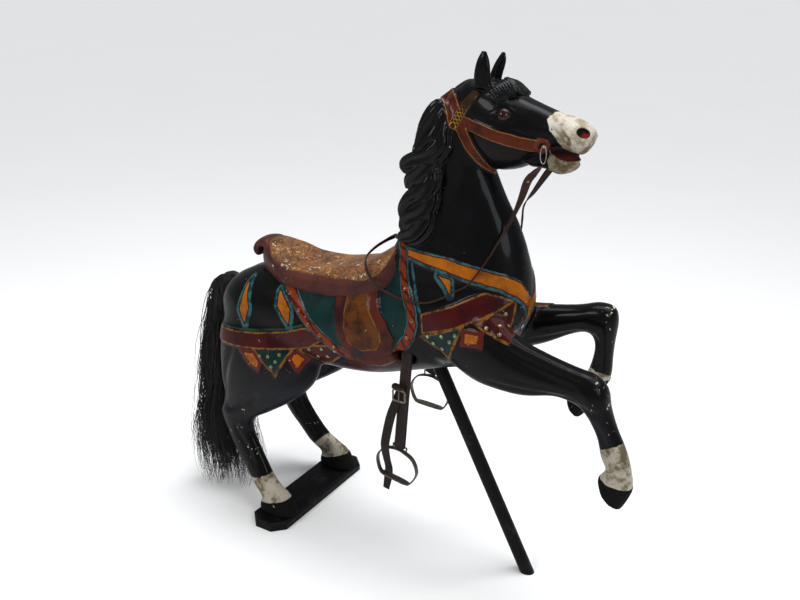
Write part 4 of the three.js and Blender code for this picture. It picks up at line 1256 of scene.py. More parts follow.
class HORSE_OT_carve_body(bpy.types.Operator):
    """Carves the trunk and legs with their painted harness"""
    bl_idname = "carousel_horse.carve_body"
    bl_label = "Carve Body"

    def execute(self, context):
        legs = [HIND_LEG, mirrored(HIND_LEG), HIND_HOOF, mirrored(HIND_HOOF), RIGHT_FORELEG,
            RIGHT_FORE_HOOF, LEFT_FORELEG, LEFT_FORE_HOOF]
        shells = [mass(TRUNK), mass(NECK[:4])] + [mass(leg, sides=40) for leg in legs]
        skin = Skin(shells, settings().carving.body_grain)
        sock, hoof = hoof_and_sock_fields(skin)
        on_hoof = smoothstep(-8, 4, hoof)
        on_leg = smoothstep(560, 420, skin.places[:, 2])
        skin.relax(26, 1 - 0.75 * np.maximum(on_hoof, 0.6 * on_leg))
        skin.lift(body_muscles(skin) * (1 - on_hoof))
        skin.relax(2, 1 - on_hoof)
        skin.lift(1.6 * smoothstep(-3, 3, hoof) - 1.2 * np.exp(-((hoof + 5) / 3) ** 2))
        fields = trapping_fields(skin)
        skin.lift(trapping_relief(fields))
        chart = unrolled(skin.places)
        above = skin.places[:, 2] - collar_height(chart[:, 0])
        under_neck = smoothstep(-2, 10, above) * smoothstep(410, 470, chart[:, 0])
        skin.lift(-14 * under_neck)
        slot = np.zeros(len(skin.places))
        for hand in (RIGHT, LEFT):
            across = (skin.places[:, 0] - SLOT_MIDDLE[0] + 4) / 33
            over = (skin.places[:, 2] - SLOT_MIDDLE[2] + 4) / 24
            here = (skin.places[:, 1] * hand > 70) & (skin.places[:, 2] < 760)
            hollow = smoothstep(1.15, 0.75, np.sqrt(across ** 2 + over ** 2)) * here
            skin.places[:, 1] -= hand * 38 * hollow
            slot = np.maximum(slot, hollow)
        skin.places[:, 2] = np.maximum(skin.places[:, 2], HOOF_SOLE)
        x, _, z = skin.places.T
        scuffed = [skin.swelling(middle, (60, 60, 60), 1, hand) for middle, hand in SCUFFED]
        distances = {**fields, "sock": sock, "hoof": hoof}
        fields = {name: distance * MM for name,
            distance in distances.items()} | {"belly": smoothstep(700, 600, z) * smoothstep(200,
            300, x) * smoothstep(640, 540, x), "rubbed": smoothstep(720, 668, z) * smoothstep(270,
            320, x) * smoothstep(560, 500, x), "slot": smoothstep(0.1, 0.6, slot),
            # underside: faces that look down, which carry the painted floor reflection
            "underside": smoothstep(0.25, -0.5, skin.normals()[:, 2]) * smoothstep(720, 600, z),
            "scuffed": np.minimum(np.sum(scuffed, axis=0), 1)}
        skin.piece("carved_body", body_paint(), fields)
        KEPT["body"] = skin
        return {"FINISHED"}


KEPT = {}  # the finished skin of the body, for the jewels that sit on it


def eye_fields(skin):
    """Almond of the eye in the plane of the cheek: below 1 inside the lids."""
    places = skin.folded()
    ahead = (places[:, 0] - EYE_MIDDLE[0]) / 15.5
    over = (places[:, 2] - EYE_MIDDLE[2] - 1.5) / 10.0
    over = over + 0.12 * ahead
    near = (np.abs(ahead) < 4) & (places[:, 1] > 40)
    ring = np.sqrt(ahead ** 2 + over ** 2 * (1 + 0.35 * ahead ** 2))
    return np.where(near, ring, 9.0), over


HEAD_STROKES = [([[702, 1424], [720, 1429], [736, 1425]], 4, -4),
    ([[746, 1384], [790, 1374], [836, 1366]], 9, -4), ([[742, 1424], [790, 1404], [832, 1392]], 10,
    3.5), ([[752, 1372], [788, 1361]], 3.2, -3.5), ([[752, 1366], [788, 1355]], 2.6, 4.0),
    ([[648, 1395], [690, 1336], [706, 1290], [700, 1256]], 13, 4),
    ([[770, 1300], [806, 1292], [834, 1290]], 9, 3.5), ([[846, 1334], [866, 1350], [872, 1366],
    [868, 1382]], 4.5, 6), ([[860, 1334], [882, 1350], [896, 1352]], 4, 5),
    ([[876, 1336], [902, 1343], [926, 1345]], 4, 4), ([[872, 1396], [898, 1380], [906, 1360]], 7,
    -3), ([[664, 1225], [676, 1130], [700, 1040]], 18, 5), ([[600, 1260], [600, 1150], [640, 1040]],
    30, -3), (MUZZLE_FOLDS[0], 5, 5), (MUZZLE_FOLDS[1], 5, 3),
    ([[842, 1284], [870, 1276], [900, 1278]], 5, 2.5), ([[846, 1270], [872, 1264], [896, 1268]], 4,
    2)]


def head_carving(skin):
    """How far the face stands out or in, and how near each vertex is to nostril and eye."""
    places = skin.folded()
    ring, over = eye_fields(skin)
    amount = sum(skin.stroke(*stroke) for stroke in HEAD_STROKES)
    amount += 6.0 * np.exp(-((ring - 1.3) / 0.3) ** 2)
    amount += 4.0 * np.exp(-((ring - 2.25) / 0.33) ** 2) * smoothstep(0.2, 1.2, over)
    amount -= 4.0 * np.exp(-((ring - 1.8) / 0.24) ** 2) * smoothstep(-0.2, 0.8, over)
    amount -= 3.0 * np.exp(-((ring - 2.0) / 0.4) ** 2) * smoothstep(-0.2, -1.2, over)
    amount -= 13 * smoothstep(1.05, 0.8, ring)
    amount += skin.swelling((672, 74, 1312), (44, 40, 46), 5)
    away = (places - NOSTRIL) / (17, 22, 13)
    turned = np.sqrt((away[:, 0] + 0.3 * away[:, 2]) ** 2 + away[:, 1] ** 2 + away[:, 2] ** 2)
    amount += 4.5 * np.exp(-((turned - 1.3) / 0.28) ** 2)
    amount -= 20 * smoothstep(1.02, 0.55, turned)
    upper_lip, _ = path_distance(places[:, [0, 2]], [[850, 1326], [888, 1324], [932, 1318]])
    lower_lip, _ = path_distance(places[:, [0, 2]], [[840, 1303], [874, 1290], [914, 1289]])
    lips = np.exp(-(upper_lip / 5) ** 2) + 1.3 * np.exp(-(lower_lip / 5) ** 2)
    amount += 3.0 * lips * (places[:, 0] > 838) * smoothstep(20, 34, places[:, 1])
    windpipe, _ = path_distance(places, [[690, 18, 1215], [735, 16, 1120], [770, 10, 1040]])
    amount += 4 * np.exp(-(windpipe / 22) ** 2)
    ear_hollow, where = path_distance(places, [[654, 60, 1470], [657, 61, 1497], [660, 59, 1526]])
    amount -= 9 * np.exp(-(ear_hollow / 9) ** 2) * (1 - 0.4 * where)
    return amount, turned, ring


def bridle_distance(skin, route, half_width):
    """Signed distance into a strap that follows the head, and the place along and across it."""
    line = along_curve(route, np.linspace(0, 1, 8 * len(route)))
    gap, where = path_distance(skin.folded(), line)
    index = np.minimum((where * (len(line) - 1)).astype(int), len(line) - 1)
    run = directions(line)[index]
    offset = skin.folded() - line[index]
    across = offset[:, 0] * run[:, 2] - offset[:, 2] * run[:, 0]
    length = np.sum(np.linalg.norm(np.diff(line, axis=0), axis=1))
    return half_width - gap, where * length, across


class HORSE_OT_carve_head(bpy.types.Operator):
    """Carves the neck, head, mane and bridle"""
    bl_idname = "carousel_horse.carve_head"
    bl_label = "Carve Head and Neck"

    def execute(self, context):
        shells = [mass(NECK), mass(HEAD), mass(LOWER_JAW, sides=40), mass(TONGUE), mass(TEETH)]
        tufts = [points for row in FORELOCK for points in comb(*row)]
        hair_locks = MANE + CREST
        shells += [lock(points) for points in hair_locks + [MANE_BED, MANE_FILL, RIGHT_EAR,
            LEFT_EAR]]
        shells.append(lock(POLL_RIDGE))
        shells += [lock(points, flat=0.8, sides=16) for points in tufts]
        skin = Skin(shells, settings().carving.head_grain)
        chart = unrolled(skin.places)
        below = collar_height(chart[:, 0]) - skin.places[:, 2]
        _, hair = skin.strands(hair_locks, 0, 1)
        _, tuft_hair = skin.strands(tufts, 0, 1)
        x, _, z = skin.places.T
        crisp = (hair < 1.2) | (tuft_hair < 1.3)
        fine = (z > 1475) | (x > 838)
        skin.relax(22, np.where(crisp, 0.07, np.where(fine, 0.25, 1.0)))
        skin.relax(2, np.where(crisp, 0.4, 1.0))
        amount, nostril, eye = head_carving(skin)
        skin.lift(amount * np.where(tuft_hair < 1.3, 0.3, 1.0))
        skin.relax(1, np.where(crisp, 0.3, 1.0))
        depth = settings().carving.strand_depth / MM
        mane, hair = skin.strands(hair_locks, depth, 6)
        clear = bridle_distance(skin, CROWN_STRAP, 22)[0]
        skin.lift(mane * smoothstep(4, -6, clear) + skin.combed(tufts, 4.2))
        crown, cheek, throat = (bridle_distance(skin, route, half)[0] for route,
            half in ((CROWN_STRAP, 22), (CHEEK_STRAP, 17), (THROAT_STRAP, 15)))
        panel, panel_along, panel_across = bridle_distance(skin, BROW_PANEL, 15)
        boss = BOSS_RADIUS - np.linalg.norm(skin.folded() - BIT_BOSS, axis=1)
        bridle = np.max([crown, cheek, throat], axis=0)
        skin.relax(16, 0.9 * smoothstep(-10, 2, crown))
        skin.relax(3, np.where(bridle > 4, 0.8, 0.0))
        skin.lift(4.2 * smoothstep(-2, 2, np.max([bridle, panel, boss], axis=0))
            + 3.5 * smoothstep(-2, 4, boss) - 7 * smoothstep(10, 14, boss)
            + 1.6 * smoothstep(-2, 2, panel))
        loops = skin.stroke([[758, 1358], [770, 1316]], 4, -2.5)
        loops += skin.stroke([[780, 1354], [790, 1312]], 4, -2.5)
        skin.lift(loops * smoothstep(-2, 4, bridle))
        skin.lift(-22 * smoothstep(2, 14, below))
        x, y, z = skin.places.T
        side = np.abs(y)
        upper = x - np.interp(z, [1300, 1327, 1342, 1366, 1396, 1410],
            [872, 870, 866, 846, 828, 842])
        jaw = x - 836 - 0.2 * (1290 - z)
        muzzle = np.where((z < 1316) & (x < 915), jaw, upper)
        middle = np.interp(x, [842, 870, 885, 915], [1317, 1311, 1306, 1302])
        wide = np.interp(x, [842, 870, 890, 920], [9, 16, 14, 8])
        gap = smoothstep(wide + 2, wide - 3, np.abs(z - middle)) * smoothstep(836, 844, x)
        facing = np.abs(skin.normals()[:, 2])
        mouth = gap * np.maximum(smoothstep(44, 36, side), smoothstep(0.45, 0.75, facing))
        fields = {"bridle": bridle * MM, "brow_panel": panel * MM, "muzzle": muzzle * MM,
            "panel_along": panel_along * MM, "panel_across": panel_across * MM, "boss": boss * MM,
            "mouth": mouth, "nostril": smoothstep(1.2, 0.4, nostril),
            "hair": smoothstep(1.2, 1.0, np.minimum(hair, tuft_hair)),
            "lid": smoothstep(1.3, 1.0, eye), "fold": skin.stroke(MUZZLE_FOLDS[0], 5, -1)
            + skin.stroke(MUZZLE_FOLDS[1], 5, -0.7)}
        skin.piece("carved_head_and_neck", head_paint(), fields)
        return {"FINISHED"}


class HORSE_OT_carve_saddle(bpy.types.Operator):
    """Carves the saddle with its rolled cantle"""
    bl_idname = "carousel_horse.carve_saddle"
    bl_label = "Carve Saddle"

    def execute(self, context):
        shells = [mass(SADDLE, squareness=0.75), mass(CANTLE)]
        skin = Skin(shells, settings().carving.saddle_grain)
        skin.relax(14, np.where(skin.places[:, 0] < -110, 0.5, 1.0))
        x, y, z = skin.places.T
        edge = np.interp(x, [-170, -110, -80, -48, 39, 164, 312, 368, 395, 410],
            [960, 946, 918, 892, 872, 876, 892, 916, 950, 1000])
        seat = z - edge
        dip = np.exp(-((x - 120) / 160) ** 2) * np.exp(-(y / 60) ** 2)
        amount = 2.5 * smoothstep(-6, -14, seat) - 2.0 * np.exp(-(seat / 5) ** 2) - 3 * dip
        curl, _ = path_distance(skin.folded()[:, [0, 2]], along_curve([[-128, 872], [-146, 872],
            [-158, 886], [-150, 902]], np.linspace(0, 1, 20)))
        ends = smoothstep(24, 38, np.abs(y))
        amount -= 3.0 * np.exp(-((curl - 7) / 3) ** 2) * ends * (x < -100)
        rough = np.sin(x / 23 + 3 * np.sin(y / 31)) * np.sin(y / 19 + 2 * np.sin(x / 37))
        skin.lift(amount + 0.5 * rough)
        skin.piece("carved_saddle", saddle_paint(), {"seat": seat * MM})
        return {"FINISHED"}


# ---- the stand ----

def board_outline(inset, corner=38):
    """The board's outline with cut corners, walked in short steps."""
    low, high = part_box("foot_board")
    half = np.array([(high[k] - low[k]) * 500 - inset for k in (0, 1)])
    cut = corner - 0.41 * inset
    x, y = half
    ends = [(-x, -y + cut), (-x + cut, -y), (x - cut, -y), (x, -y + cut), (x, y - cut),
        (x - cut, y), (-x + cut, y), (-x, y - cut)]
    points = []
    for (x0, y0), (x1, y1) in zip(ends, ends[1:] + ends[:1]):
        count = 6 if abs(x0 - x1) < 100 and abs(y0 - y1) < 100 else 30
        points += [(x0 + (x1 - x0) * i / count, y0 + (y1 - y0) * i / count) for i in range(count)]
    return points


class HORSE_OT_build_stand(bpy.types.Operator):
    """Builds the bevelled foot board and the straight prop pole"""
    bl_idname = "carousel_horse.build_stand"
    bl_label = "Build Stand"

    def execute(self, context):
        top = BOARD_TOP
        profile = [(14, 0), (1.2, 0), (0.3, 0.6), (0, 2), (0, top - 7), (0.8, top - 5.6),
            (5.2, top - 1.2), (6.6, top - 0.2), (8.2, top), (30, top)]
        rings = []
        for level, (inset, z) in enumerate(profile):
            ring = np.array([(x, y, z) for x, y in board_outline(inset)])
            if 3 < level < 9:
                turn = np.arange(len(ring))
                dent = (np.sin(turn * 0.7) * np.sin(turn * 1.93 + 1) + np.sin(turn * 0.23)) * 0.35
                ring[:, :2] *= 1 - np.clip(dent, 0, 1)[:, None] * 0.008
            rings.append(ring)
        new_piece("beveled_board", closed_shell(np.array(rings)),
            stand_paint("painted_board", (60, 5, 60)), "foot_board", smooth=False)

        start, finish = pole_ends(0.2)
        along = unit(finish - start)
        angle = turns(64)
        across = np.cross(along, [0, 1, 0])
        circle = (np.outer(np.cos(angle), across) + np.outer(np.sin(angle),
            [0, 1, 0])) * POLE_RADIUS
        whole = np.linalg.norm(finish - start)
        rings = [start + along * distance + circle for distance in np.linspace(POLE_SPARE, whole,
            60)]
        foot = rings[0] - along * (rings[0][:, 2] / along[2])[:, None]
        new_piece("straight_pole", closed_shell(np.array([foot * (1, 1, 0)] + rings[3:])),
            stand_paint("painted_pole", (22, 22, 6)), "prop_pole")
        return {"FINISHED"}


# ---- geometry nodes ----

class Growth:
    """A Geometry Nodes tree with named inputs, applied to an object and made a plain mesh."""

    def __init__(self, name):
        self.name = name
        self.tree = bpy.data.node_groups.new(name, "GeometryNodeTree")
        self.tree.interface.new_socket("Geometry", in_out="INPUT", socket_type="NodeSocketGeometry")
        self.tree.interface.new_socket("Geometry", in_out="OUTPUT",
            socket_type="NodeSocketGeometry")
        self.inputs = self.tree.nodes.new("NodeGroupInput")
        self.outputs = self.tree.nodes.new("NodeGroupOutput")
        self.values = {}

    def size(self, name, amount):
        """A named input and its amount; returns its socket."""
        made = self.tree.interface.new_socket(name, in_out="INPUT", socket_type="NodeSocketFloat")
        self.values[made.identifier] = amount
        return self.inputs.outputs[name]

    def node(self, kind, settings=(), **links):
        made = self.tree.nodes.new(kind)
        for key, value in dict(settings).items():
            setattr(made, key, value)
        for name, value in links.items():
            socket = made.inputs[name.replace("_", " ")]
            if isinstance(value, bpy.types.NodeSocket):
                self.tree.links.new(value, socket)
            else:
                socket.default_value = value
        return made

    def finish(self, source, geometry, material, slot):
        """Ends the tree, applies it to source and returns the piece."""
        real = self.node("GeometryNodeRealizeInstances", Geometry=geometry)
        painted = self.node("GeometryNodeSetMaterial", Geometry=real.outputs[0], Material=material)
        self.tree.links.new(painted.outputs[0], self.outputs.inputs[0])
        modifier = source.modifiers.new("Growth", "NODES")
        modifier.node_group = self.tree
        for identifier, amount in self.values.items():
            modifier[identifier] = amount
        graph = bpy.context.evaluated_depsgraph_get()
        mesh = bpy.data.meshes.new_from_object(source.evaluated_get(graph))
        mesh.name = self.name
        if not mesh.materials:
            mesh.materials.append(material)
        bpy.data.objects.remove(source)
        made = in_scene(self.name, mesh)
        if len(mesh.polygons) == 0:
            raise RuntimeError(self.name + " came out empty")
        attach(made, "root")
        return made

    def scatter(self, shape, places, facings, material, slot, **links):
        """Puts a copy of shape at each place, facing its own way, and ends the tree."""
        facing = self.node("GeometryNodeInputNamedAttribute", {"data_type": "FLOAT_VECTOR"},
            Name="facing")
        turn = self.node("FunctionNodeAlignRotationToVector", {"axis": "Z"},
            Vector=facing.outputs["Attribute"])
        placed = self.node("GeometryNodeInstanceOnPoints", Instance=shape, Rotation=turn.outputs[0],
            Points=self.inputs.outputs["Geometry"], **links)
        mesh = new_mesh(self.name, places)
        layer = mesh.attributes.new("facing", "FLOAT_VECTOR", "POINT")
        layer.data.foreach_set("vector", np.asarray(facings, np.float32).ravel())
        return self.finish(in_scene(self.name, mesh), placed.outputs[0], material, slot)


def set_jewels(name, places, facings, glass, share):
    """Faceted domes, one at each place, facing out."""
    sizes = settings().jewels
    growth = Growth(name)
    radius = growth.size("Radius", sizes.radius * share)
    rise = growth.size("Rise", sizes.rise * share)
    gem = growth.node("GeometryNodeMeshIcoSphere", Radius=1.0, Subdivisions=2)
    size = growth.node("ShaderNodeCombineXYZ", X=radius, Y=radius, Z=rise)
    made = growth.scatter(gem.outputs["Mesh"], places, facings, glass, "painted_wood",
        Scale=size.outputs[0])
    made.data.shade_flat()


def set_collars(name, places, facings, metal):
    """Thin rings that hold the jewels."""
    growth = Growth(name)
    radius = growth.size("Ring radius", settings().jewels.radius * 1.08)
    wire = growth.size("Wire radius", settings().jewels.radius * 0.22)
    circle = growth.node("GeometryNodeCurvePrimitiveCircle", Resolution=14, Radius=radius)
    section = growth.node("GeometryNodeCurvePrimitiveCircle", Resolution=5, Radius=wire)
    ring = growth.node("GeometryNodeCurveToMesh", Curve=circle.outputs["Curve"],
        Profile_Curve=section.outputs["Curve"])
    growth.scatter(ring.outputs["Mesh"], places, facings, metal, "painted_wood")


def raised(seats, rise):
    """Places a little above their seats, and the directions that they face."""
    return [place + rise * normal for place, normal in seats], [normal for _, normal in seats]


class HORSE_OT_set_jewels(bpy.types.Operator):
    """Sets glass jewels in the trappings"""
    bl_idname = "carousel_horse.set_jewels"
    bl_label = "Set Jewels"

    def execute(self, context):
        skin = KEPT["body"]
        sets = (("teal", TEAL_JEWELS, linear(34, 176, 140), linear(4, 62, 56), 1.0),
            ("clear", CLEAR_JEWELS, linear(138, 146, 138), linear(44, 44, 40), 1.0),
            ("ruby", RUBY_JEWELS, linear(150, 40, 30), linear(52, 6, 6), 1.0),
            ("amber", AMBER_JEWELS, linear(150, 80, 34), linear(70, 26, 10), 0.66))
        rings = []
        for tint, layout, bright, deep, share in sets:
            seats = [skin.outermost(along, height, hand) for along,
                height in layout for hand in (RIGHT, LEFT)]
            glass = jewel_glass(tint + "_glass", bright, deep)
            set_jewels(tint + "_jewels", *raised(seats, 0.4), glass, share)
            rings += seats if share == 1.0 else []
        set_collars("jewel_settings", *raised(rings, 0.6), brass())
        return {"FINISHED"}


# ---- hair ----

class HORSE_OT_grow_tail(bpy.types.Operator):
    """Grows the horsehair tail, bundle by bundle"""
    bl_idname = "carousel_horse.grow_tail"
    bl_label = "Grow Tail"

    def execute(self, context):
        hair = settings().hair
        rng = np.random.default_rng(11)
        steps, clumps = 21, 46
        clump_reach = np.sqrt(rng.random(clumps)) * 0.92
        clump_turn = rng.random(clumps) * 2 * math.pi
        clump_phase = rng.random(clumps) * 2 * math.pi
        clump_stop = 1.0 - 0.2 * rng.random(clumps) ** 1.6
        t = np.linspace(0, 1, steps)
        gather = smoothstep(0.15, 0.95, t)
        places = []
        for number in range(hair.strands):
            clump = number % clumps
            reach, turn = math.sqrt(rng.random()), rng.random() * 2 * math.pi
            stray = rng.random() < 0.14
            stop = clump_stop[clump] - 0.1 * rng.random() ** 2
            stop = rng.uniform(0.4, 0.95) if stray else stop
            place = along_curve(TAIL, np.linspace(0.02, stop, steps))
            drawn = 0.62 * gather
            wide_x, wide_y = (reach * way(turn) * (1 - drawn)
                + clump_reach[clump] * way(clump_turn[clump]) * drawn * 1.5
                for way in (math.cos, math.sin))
            phase = clump_phase[clump] + rng.normal() * 0.5
            curl = 8.5 * smoothstep(0.05, 0.5, t) * np.sin(23 * t * stop + phase)
            fine = 3.0 * smoothstep(0.1, 0.6, t) * np.sin(41 * t * stop + 2.3 * phase)
            curl = curl * 0.7 if stray else curl + fine
            x = place[:, 0] + 0.9 * place[:, 3] * wide_x + curl
            y = place[:, 1] + 0.6 * place[:, 3] * wide_y + curl * math.cos(phase)
            z = place[:, 2] + rng.uniform(-6, 6) * t
            forward = smoothstep(0.35, 0.62, t) * (clump % 7 == 3)
            x, y = x + 74 * forward, y + 52 * forward
            if stray:
                away = rng.uniform(10, 44) * np.sin(math.pi * np.clip(t * 1.1, 0, 1) * 0.8)
                away = away + 5 * np.sin(11 * t + phase)
                x = x + away * (-1 if rng.random() < 0.86 else 0.4)
                y = y + rng.uniform(-12, 12) * t
            places.append(np.stack([x, y, np.maximum(z, 2.5)], axis=1))
        first = [steps * number for number in range(len(places))]
        edges = [(start + i, start + i + 1) for start in first for i in range(steps - 1)]
        growth = Growth("tail_strands")
        root = growth.size("Root radius", hair.root_radius)
        tip = growth.size("Tip radius", hair.tip_radius)
        share = growth.node("GeometryNodeSplineParameter")
        radius = growth.node("ShaderNodeMapRange", Value=share.outputs["Factor"], To_Min=root,
            To_Max=tip)
        section = growth.node("GeometryNodeCurvePrimitiveCircle", Resolution=3, Radius=1.0)
        splines = growth.node("GeometryNodeMeshToCurve", Mesh=growth.inputs.outputs["Geometry"])
        sized = growth.node("GeometryNodeSetCurveRadius", Curve=splines.outputs[0],
            Radius=radius.outputs["Result"])
        strands = growth.node("GeometryNodeCurveToMesh", Curve=sized.outputs[0],
            Profile_Curve=section.outputs[0], Fill_Caps=True)
        if "Scale" in strands.inputs:
            growth.tree.links.new(radius.outputs["Result"], strands.inputs["Scale"])
        source = in_scene("strands", new_mesh("strands", np.concatenate(places), edges))
        tail = growth.finish(source, strands.outputs[0], horsehair(), "horsehair")
        tail.data.shade_smooth()
        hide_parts("tail")

        core_points = [[x, y, z, radius * share] for (x, y, z, radius),
            share in zip(TAIL, TAIL_CORE)]
        verts, faces = lock(core_points, 0.66, sides=64, rows=16)
        turn = np.arctan2(verts[:, 1], verts[:, 0] + 330)
        verts[:, 0] += 3 * np.sin(verts[:, 1] * 0.9 + 4 * np.sin(verts[:, 2] / 120))
        verts[:, 1] += 3 * np.sin(verts[:, 0] * 0.8 + 2 * turn)
        new_piece("tail_core", (verts, faces), horsehair(), "tail")
        return {"FINISHED"}


# ---- tack ----

class HORSE_OT_set_eyes(bpy.types.Operator):
    """Sets the glass eyes"""
    bl_idname = "carousel_horse.set_eyes"
    bl_label = "Set Eyes"

    def execute(self, context):
        for name, hand in (("right", RIGHT), ("left", LEFT)):
            rings = []
            for step in np.linspace(0.03, 0.97, 30):
                polar = step * math.pi
                bulge = 1 + 0.05 * math.exp(-((polar / 0.5) ** 2))
                radius = EYE_RADIUS * math.sin(polar)
                angle = turns(48)
                rings.append(np.stack([EYE_MIDDLE[0] + radius * np.cos(angle),
                    np.full(48, hand * (EYE_MIDDLE[1] + EYE_RADIUS * bulge * math.cos(polar))),
                    EYE_MIDDLE[2] + radius * np.sin(angle)], axis=1))
            new_piece("glass_eye_" + name, closed_shell(np.array(rings)), glass_eye(),
                "eye_" + name)
        return {"FINISHED"}


class HORSE_OT_hang_rein_hooks(bpy.types.Operator):
    """Bends the wire hooks that hold the reins to the bit rings"""
    bl_idname = "carousel_horse.hang_rein_hooks"
    bl_label = "Hang Rein Hooks"

    def execute(self, context):
        metal = old_iron("old_wire", linear(150, 144, 136), linear(96, 78, 62))
        for name, hand in (("right", RIGHT), ("left", LEFT)):
            x, y, z = HOOK_TOP
            angle = turns(48)
            loop = np.stack([x + HOOK_WIDTH / 2 * np.sin(angle),
                np.full(48, hand * (y + HOOK_WIRE + 1)), z - HOOK_LENGTH / 2 + 4
                + HOOK_LENGTH / 2 * np.cos(angle)], axis=1)
            link = ring_bar(loop, HOOK_WIRE / 2, HOOK_WIRE / 2, (0, 1, 0), 10)
            peg = bar_between((x, hand * (y - 24), z), (x, hand * (y + HOOK_WIRE + 3), z),
                HOOK_WIRE)
            new_piece("wire_hook_" + name, together([link, peg]), metal,
                "rein_hook_" + name)
        return {"FINISHED"}


class HORSE_OT_lay_reins(bpy.types.Operator):
    """Lays the leather reins from the bit rings round the pommel"""
    bl_idname = "carousel_horse.lay_reins"
    bl_label = "Lay Reins"

    def execute(self, context):
        right = [[x, -y, z, ox, -oy, oz, w] for x, y, z, ox, oy, oz, w in REIN_ON_SHOULDER]
        route = REIN_FALL_RIGHT + right + [REIN_BEHIND_NECK]
        route += list(reversed(REIN_FALL_LEFT + REIN_ON_SHOULDER))
        leather = worn_leather("rein_leather", linear(34, 16, 10), linear(66, 34, 22))
        new_piece("leather_reins", strap(route, 3.2, rows=12), leather, "reins")
        studs = []
        for x, y, z, ox, oy, oz, _ in (REIN_FALL_RIGHT[2], REIN_FALL_LEFT[1]):
            out, place = unit(np.array([ox, oy, oz])), np.array([x, y, z])
            studs.append(bar_between(place - out * 3.4, place + out * 3.6, 4.5, 16, 0.6))
        new_piece("rein_studs", together(studs), brass())
        return {"FINISHED"}


def hung(verts, stirrup):
    """Places drawn about the stirrup's eye, tilted as that stirrup hangs."""
    lean = stirrup["lean"]
    turn = np.array([[math.cos(lean), 0, math.sin(lean)], [0, 1, 0],
        [-math.sin(lean), 0, math.cos(lean)]])
    return np.asarray(verts) @ turn.T + stirrup["eye"]


class HORSE_OT_forge_stirrups(bpy.types.Operator):
    """Forges the two iron stirrups"""
    bl_idname = "carousel_horse.forge_stirrups"
    bl_label = "Forge Stirrups"

    def execute(self, context):
        metal = old_iron("stirrup_iron", linear(84, 78, 72), linear(58, 42, 30))
        w, h = STIRRUP_WIDTH / 2, STIRRUP_HEIGHT
        arch = [(-0.2 * w, -8), (0.2 * w, -8), (0.72 * w, -0.2 * h), (w, -0.55 * h),
            (0.76 * w, -0.96 * h), (0.4 * w, -h), (-0.4 * w, -h), (-0.76 * w, -0.96 * h),
            (-w, -0.55 * h), (-0.72 * w, -0.2 * h)]
        path = closed_curve([(x, 0, z) for x, z in arch], 120)
        band = ring_bar(path, 2.5, 8, (0, 1, 0), 12, 0.55)
        half, rise = LEATHER_WIDTH / 2 + 6, 9
        eye = [(-half, 0, 0), (-half + 3, 0, rise), (half - 3, 0, rise), (half, 0, 0),
            (half - 3, 0, -rise), (-half + 3, 0, -rise)]
        loop = ring_bar(closed_curve(eye, 48), 2.5, 2.5, (0, 1, 0), 10)
        tread = strap([[-0.7 * w, 0, -h, 0, 0, 1, 16], [-0.4 * w, 0, -h, 0, 0, 1, 24],
            [0.4 * w, 0, -h, 0, 0, 1, 24], [0.7 * w, 0, -h, 0, 0, 1, 16]], 6)
        ridges = [bar_between((x, -10, -h + 3), (x, 10, -h + 3), 1.3, 8)
            for x in np.linspace(-0.36 * w, 0.36 * w, 7)]
        verts, faces = together([band, loop, tread] + ridges)
        for name, stirrup in STIRRUPS.items():
            new_piece("iron_stirrup_" + name, (hung(verts, stirrup), faces), metal,
                "stirrup_" + name)
        return {"FINISHED"}


def doubled_strap(stirrup):
    """The strap that goes down from the belly, round the stirrup's eye and up again."""
    x, y, z = stirrup["eye"]
    hand = stirrup["hand"]
    top = np.array([SLOT_MIDDLE[0], hand * SLOT_MIDDLE[1], SLOT_MIDDLE[2] + 22])
    eye = np.array([x, y, z + 7.0])
    along = unit(eye - top)
    out = unit(np.array([0, hand, 0]) - along * (hand * along[1]))
    leg = [(top, 0.7), (top + (eye - top) * 0.3, 0.75), (top + (eye - top) * 0.6, 0.8),
        (eye - along * 14, 1.0)]
    turned = [out * math.cos(turn) + along * math.sin(turn) for turn in np.linspace(0, math.pi, 6)]
    points = [place + out * 4.2 * share for place, share in leg]
    points += [eye + side * 4.6 for side in turned]
    points += [place - out * 4.2 * share for place, share in reversed(leg)]
    facing = [out] * 4 + turned + [-out] * 4
    route = [[*p, *f, LEATHER_WIDTH] for p, f in zip(points, facing)]
    return route, along, out


def stitches(name, places, runs, material, slot):
    """Short raised stitches, each lying along its own direction."""
    growth = Growth(name)
    size = growth.size("Stitch length", 4.6 * MM)
    thread = growth.size("Thread radius", 0.55 * MM)
    bead = growth.node("GeometryNodeMeshUVSphere", Segments=6, Rings=4, Radius=1.0)
    shape = growth.node("ShaderNodeCombineXYZ", X=thread, Y=thread, Z=size)
    half = growth.node("ShaderNodeVectorMath", {"operation": "SCALE"}, Scale=0.5,
        Vector=shape.outputs[0])
    growth.scatter(bead.outputs["Mesh"], places, runs, material, slot, Scale=half.outputs[0])


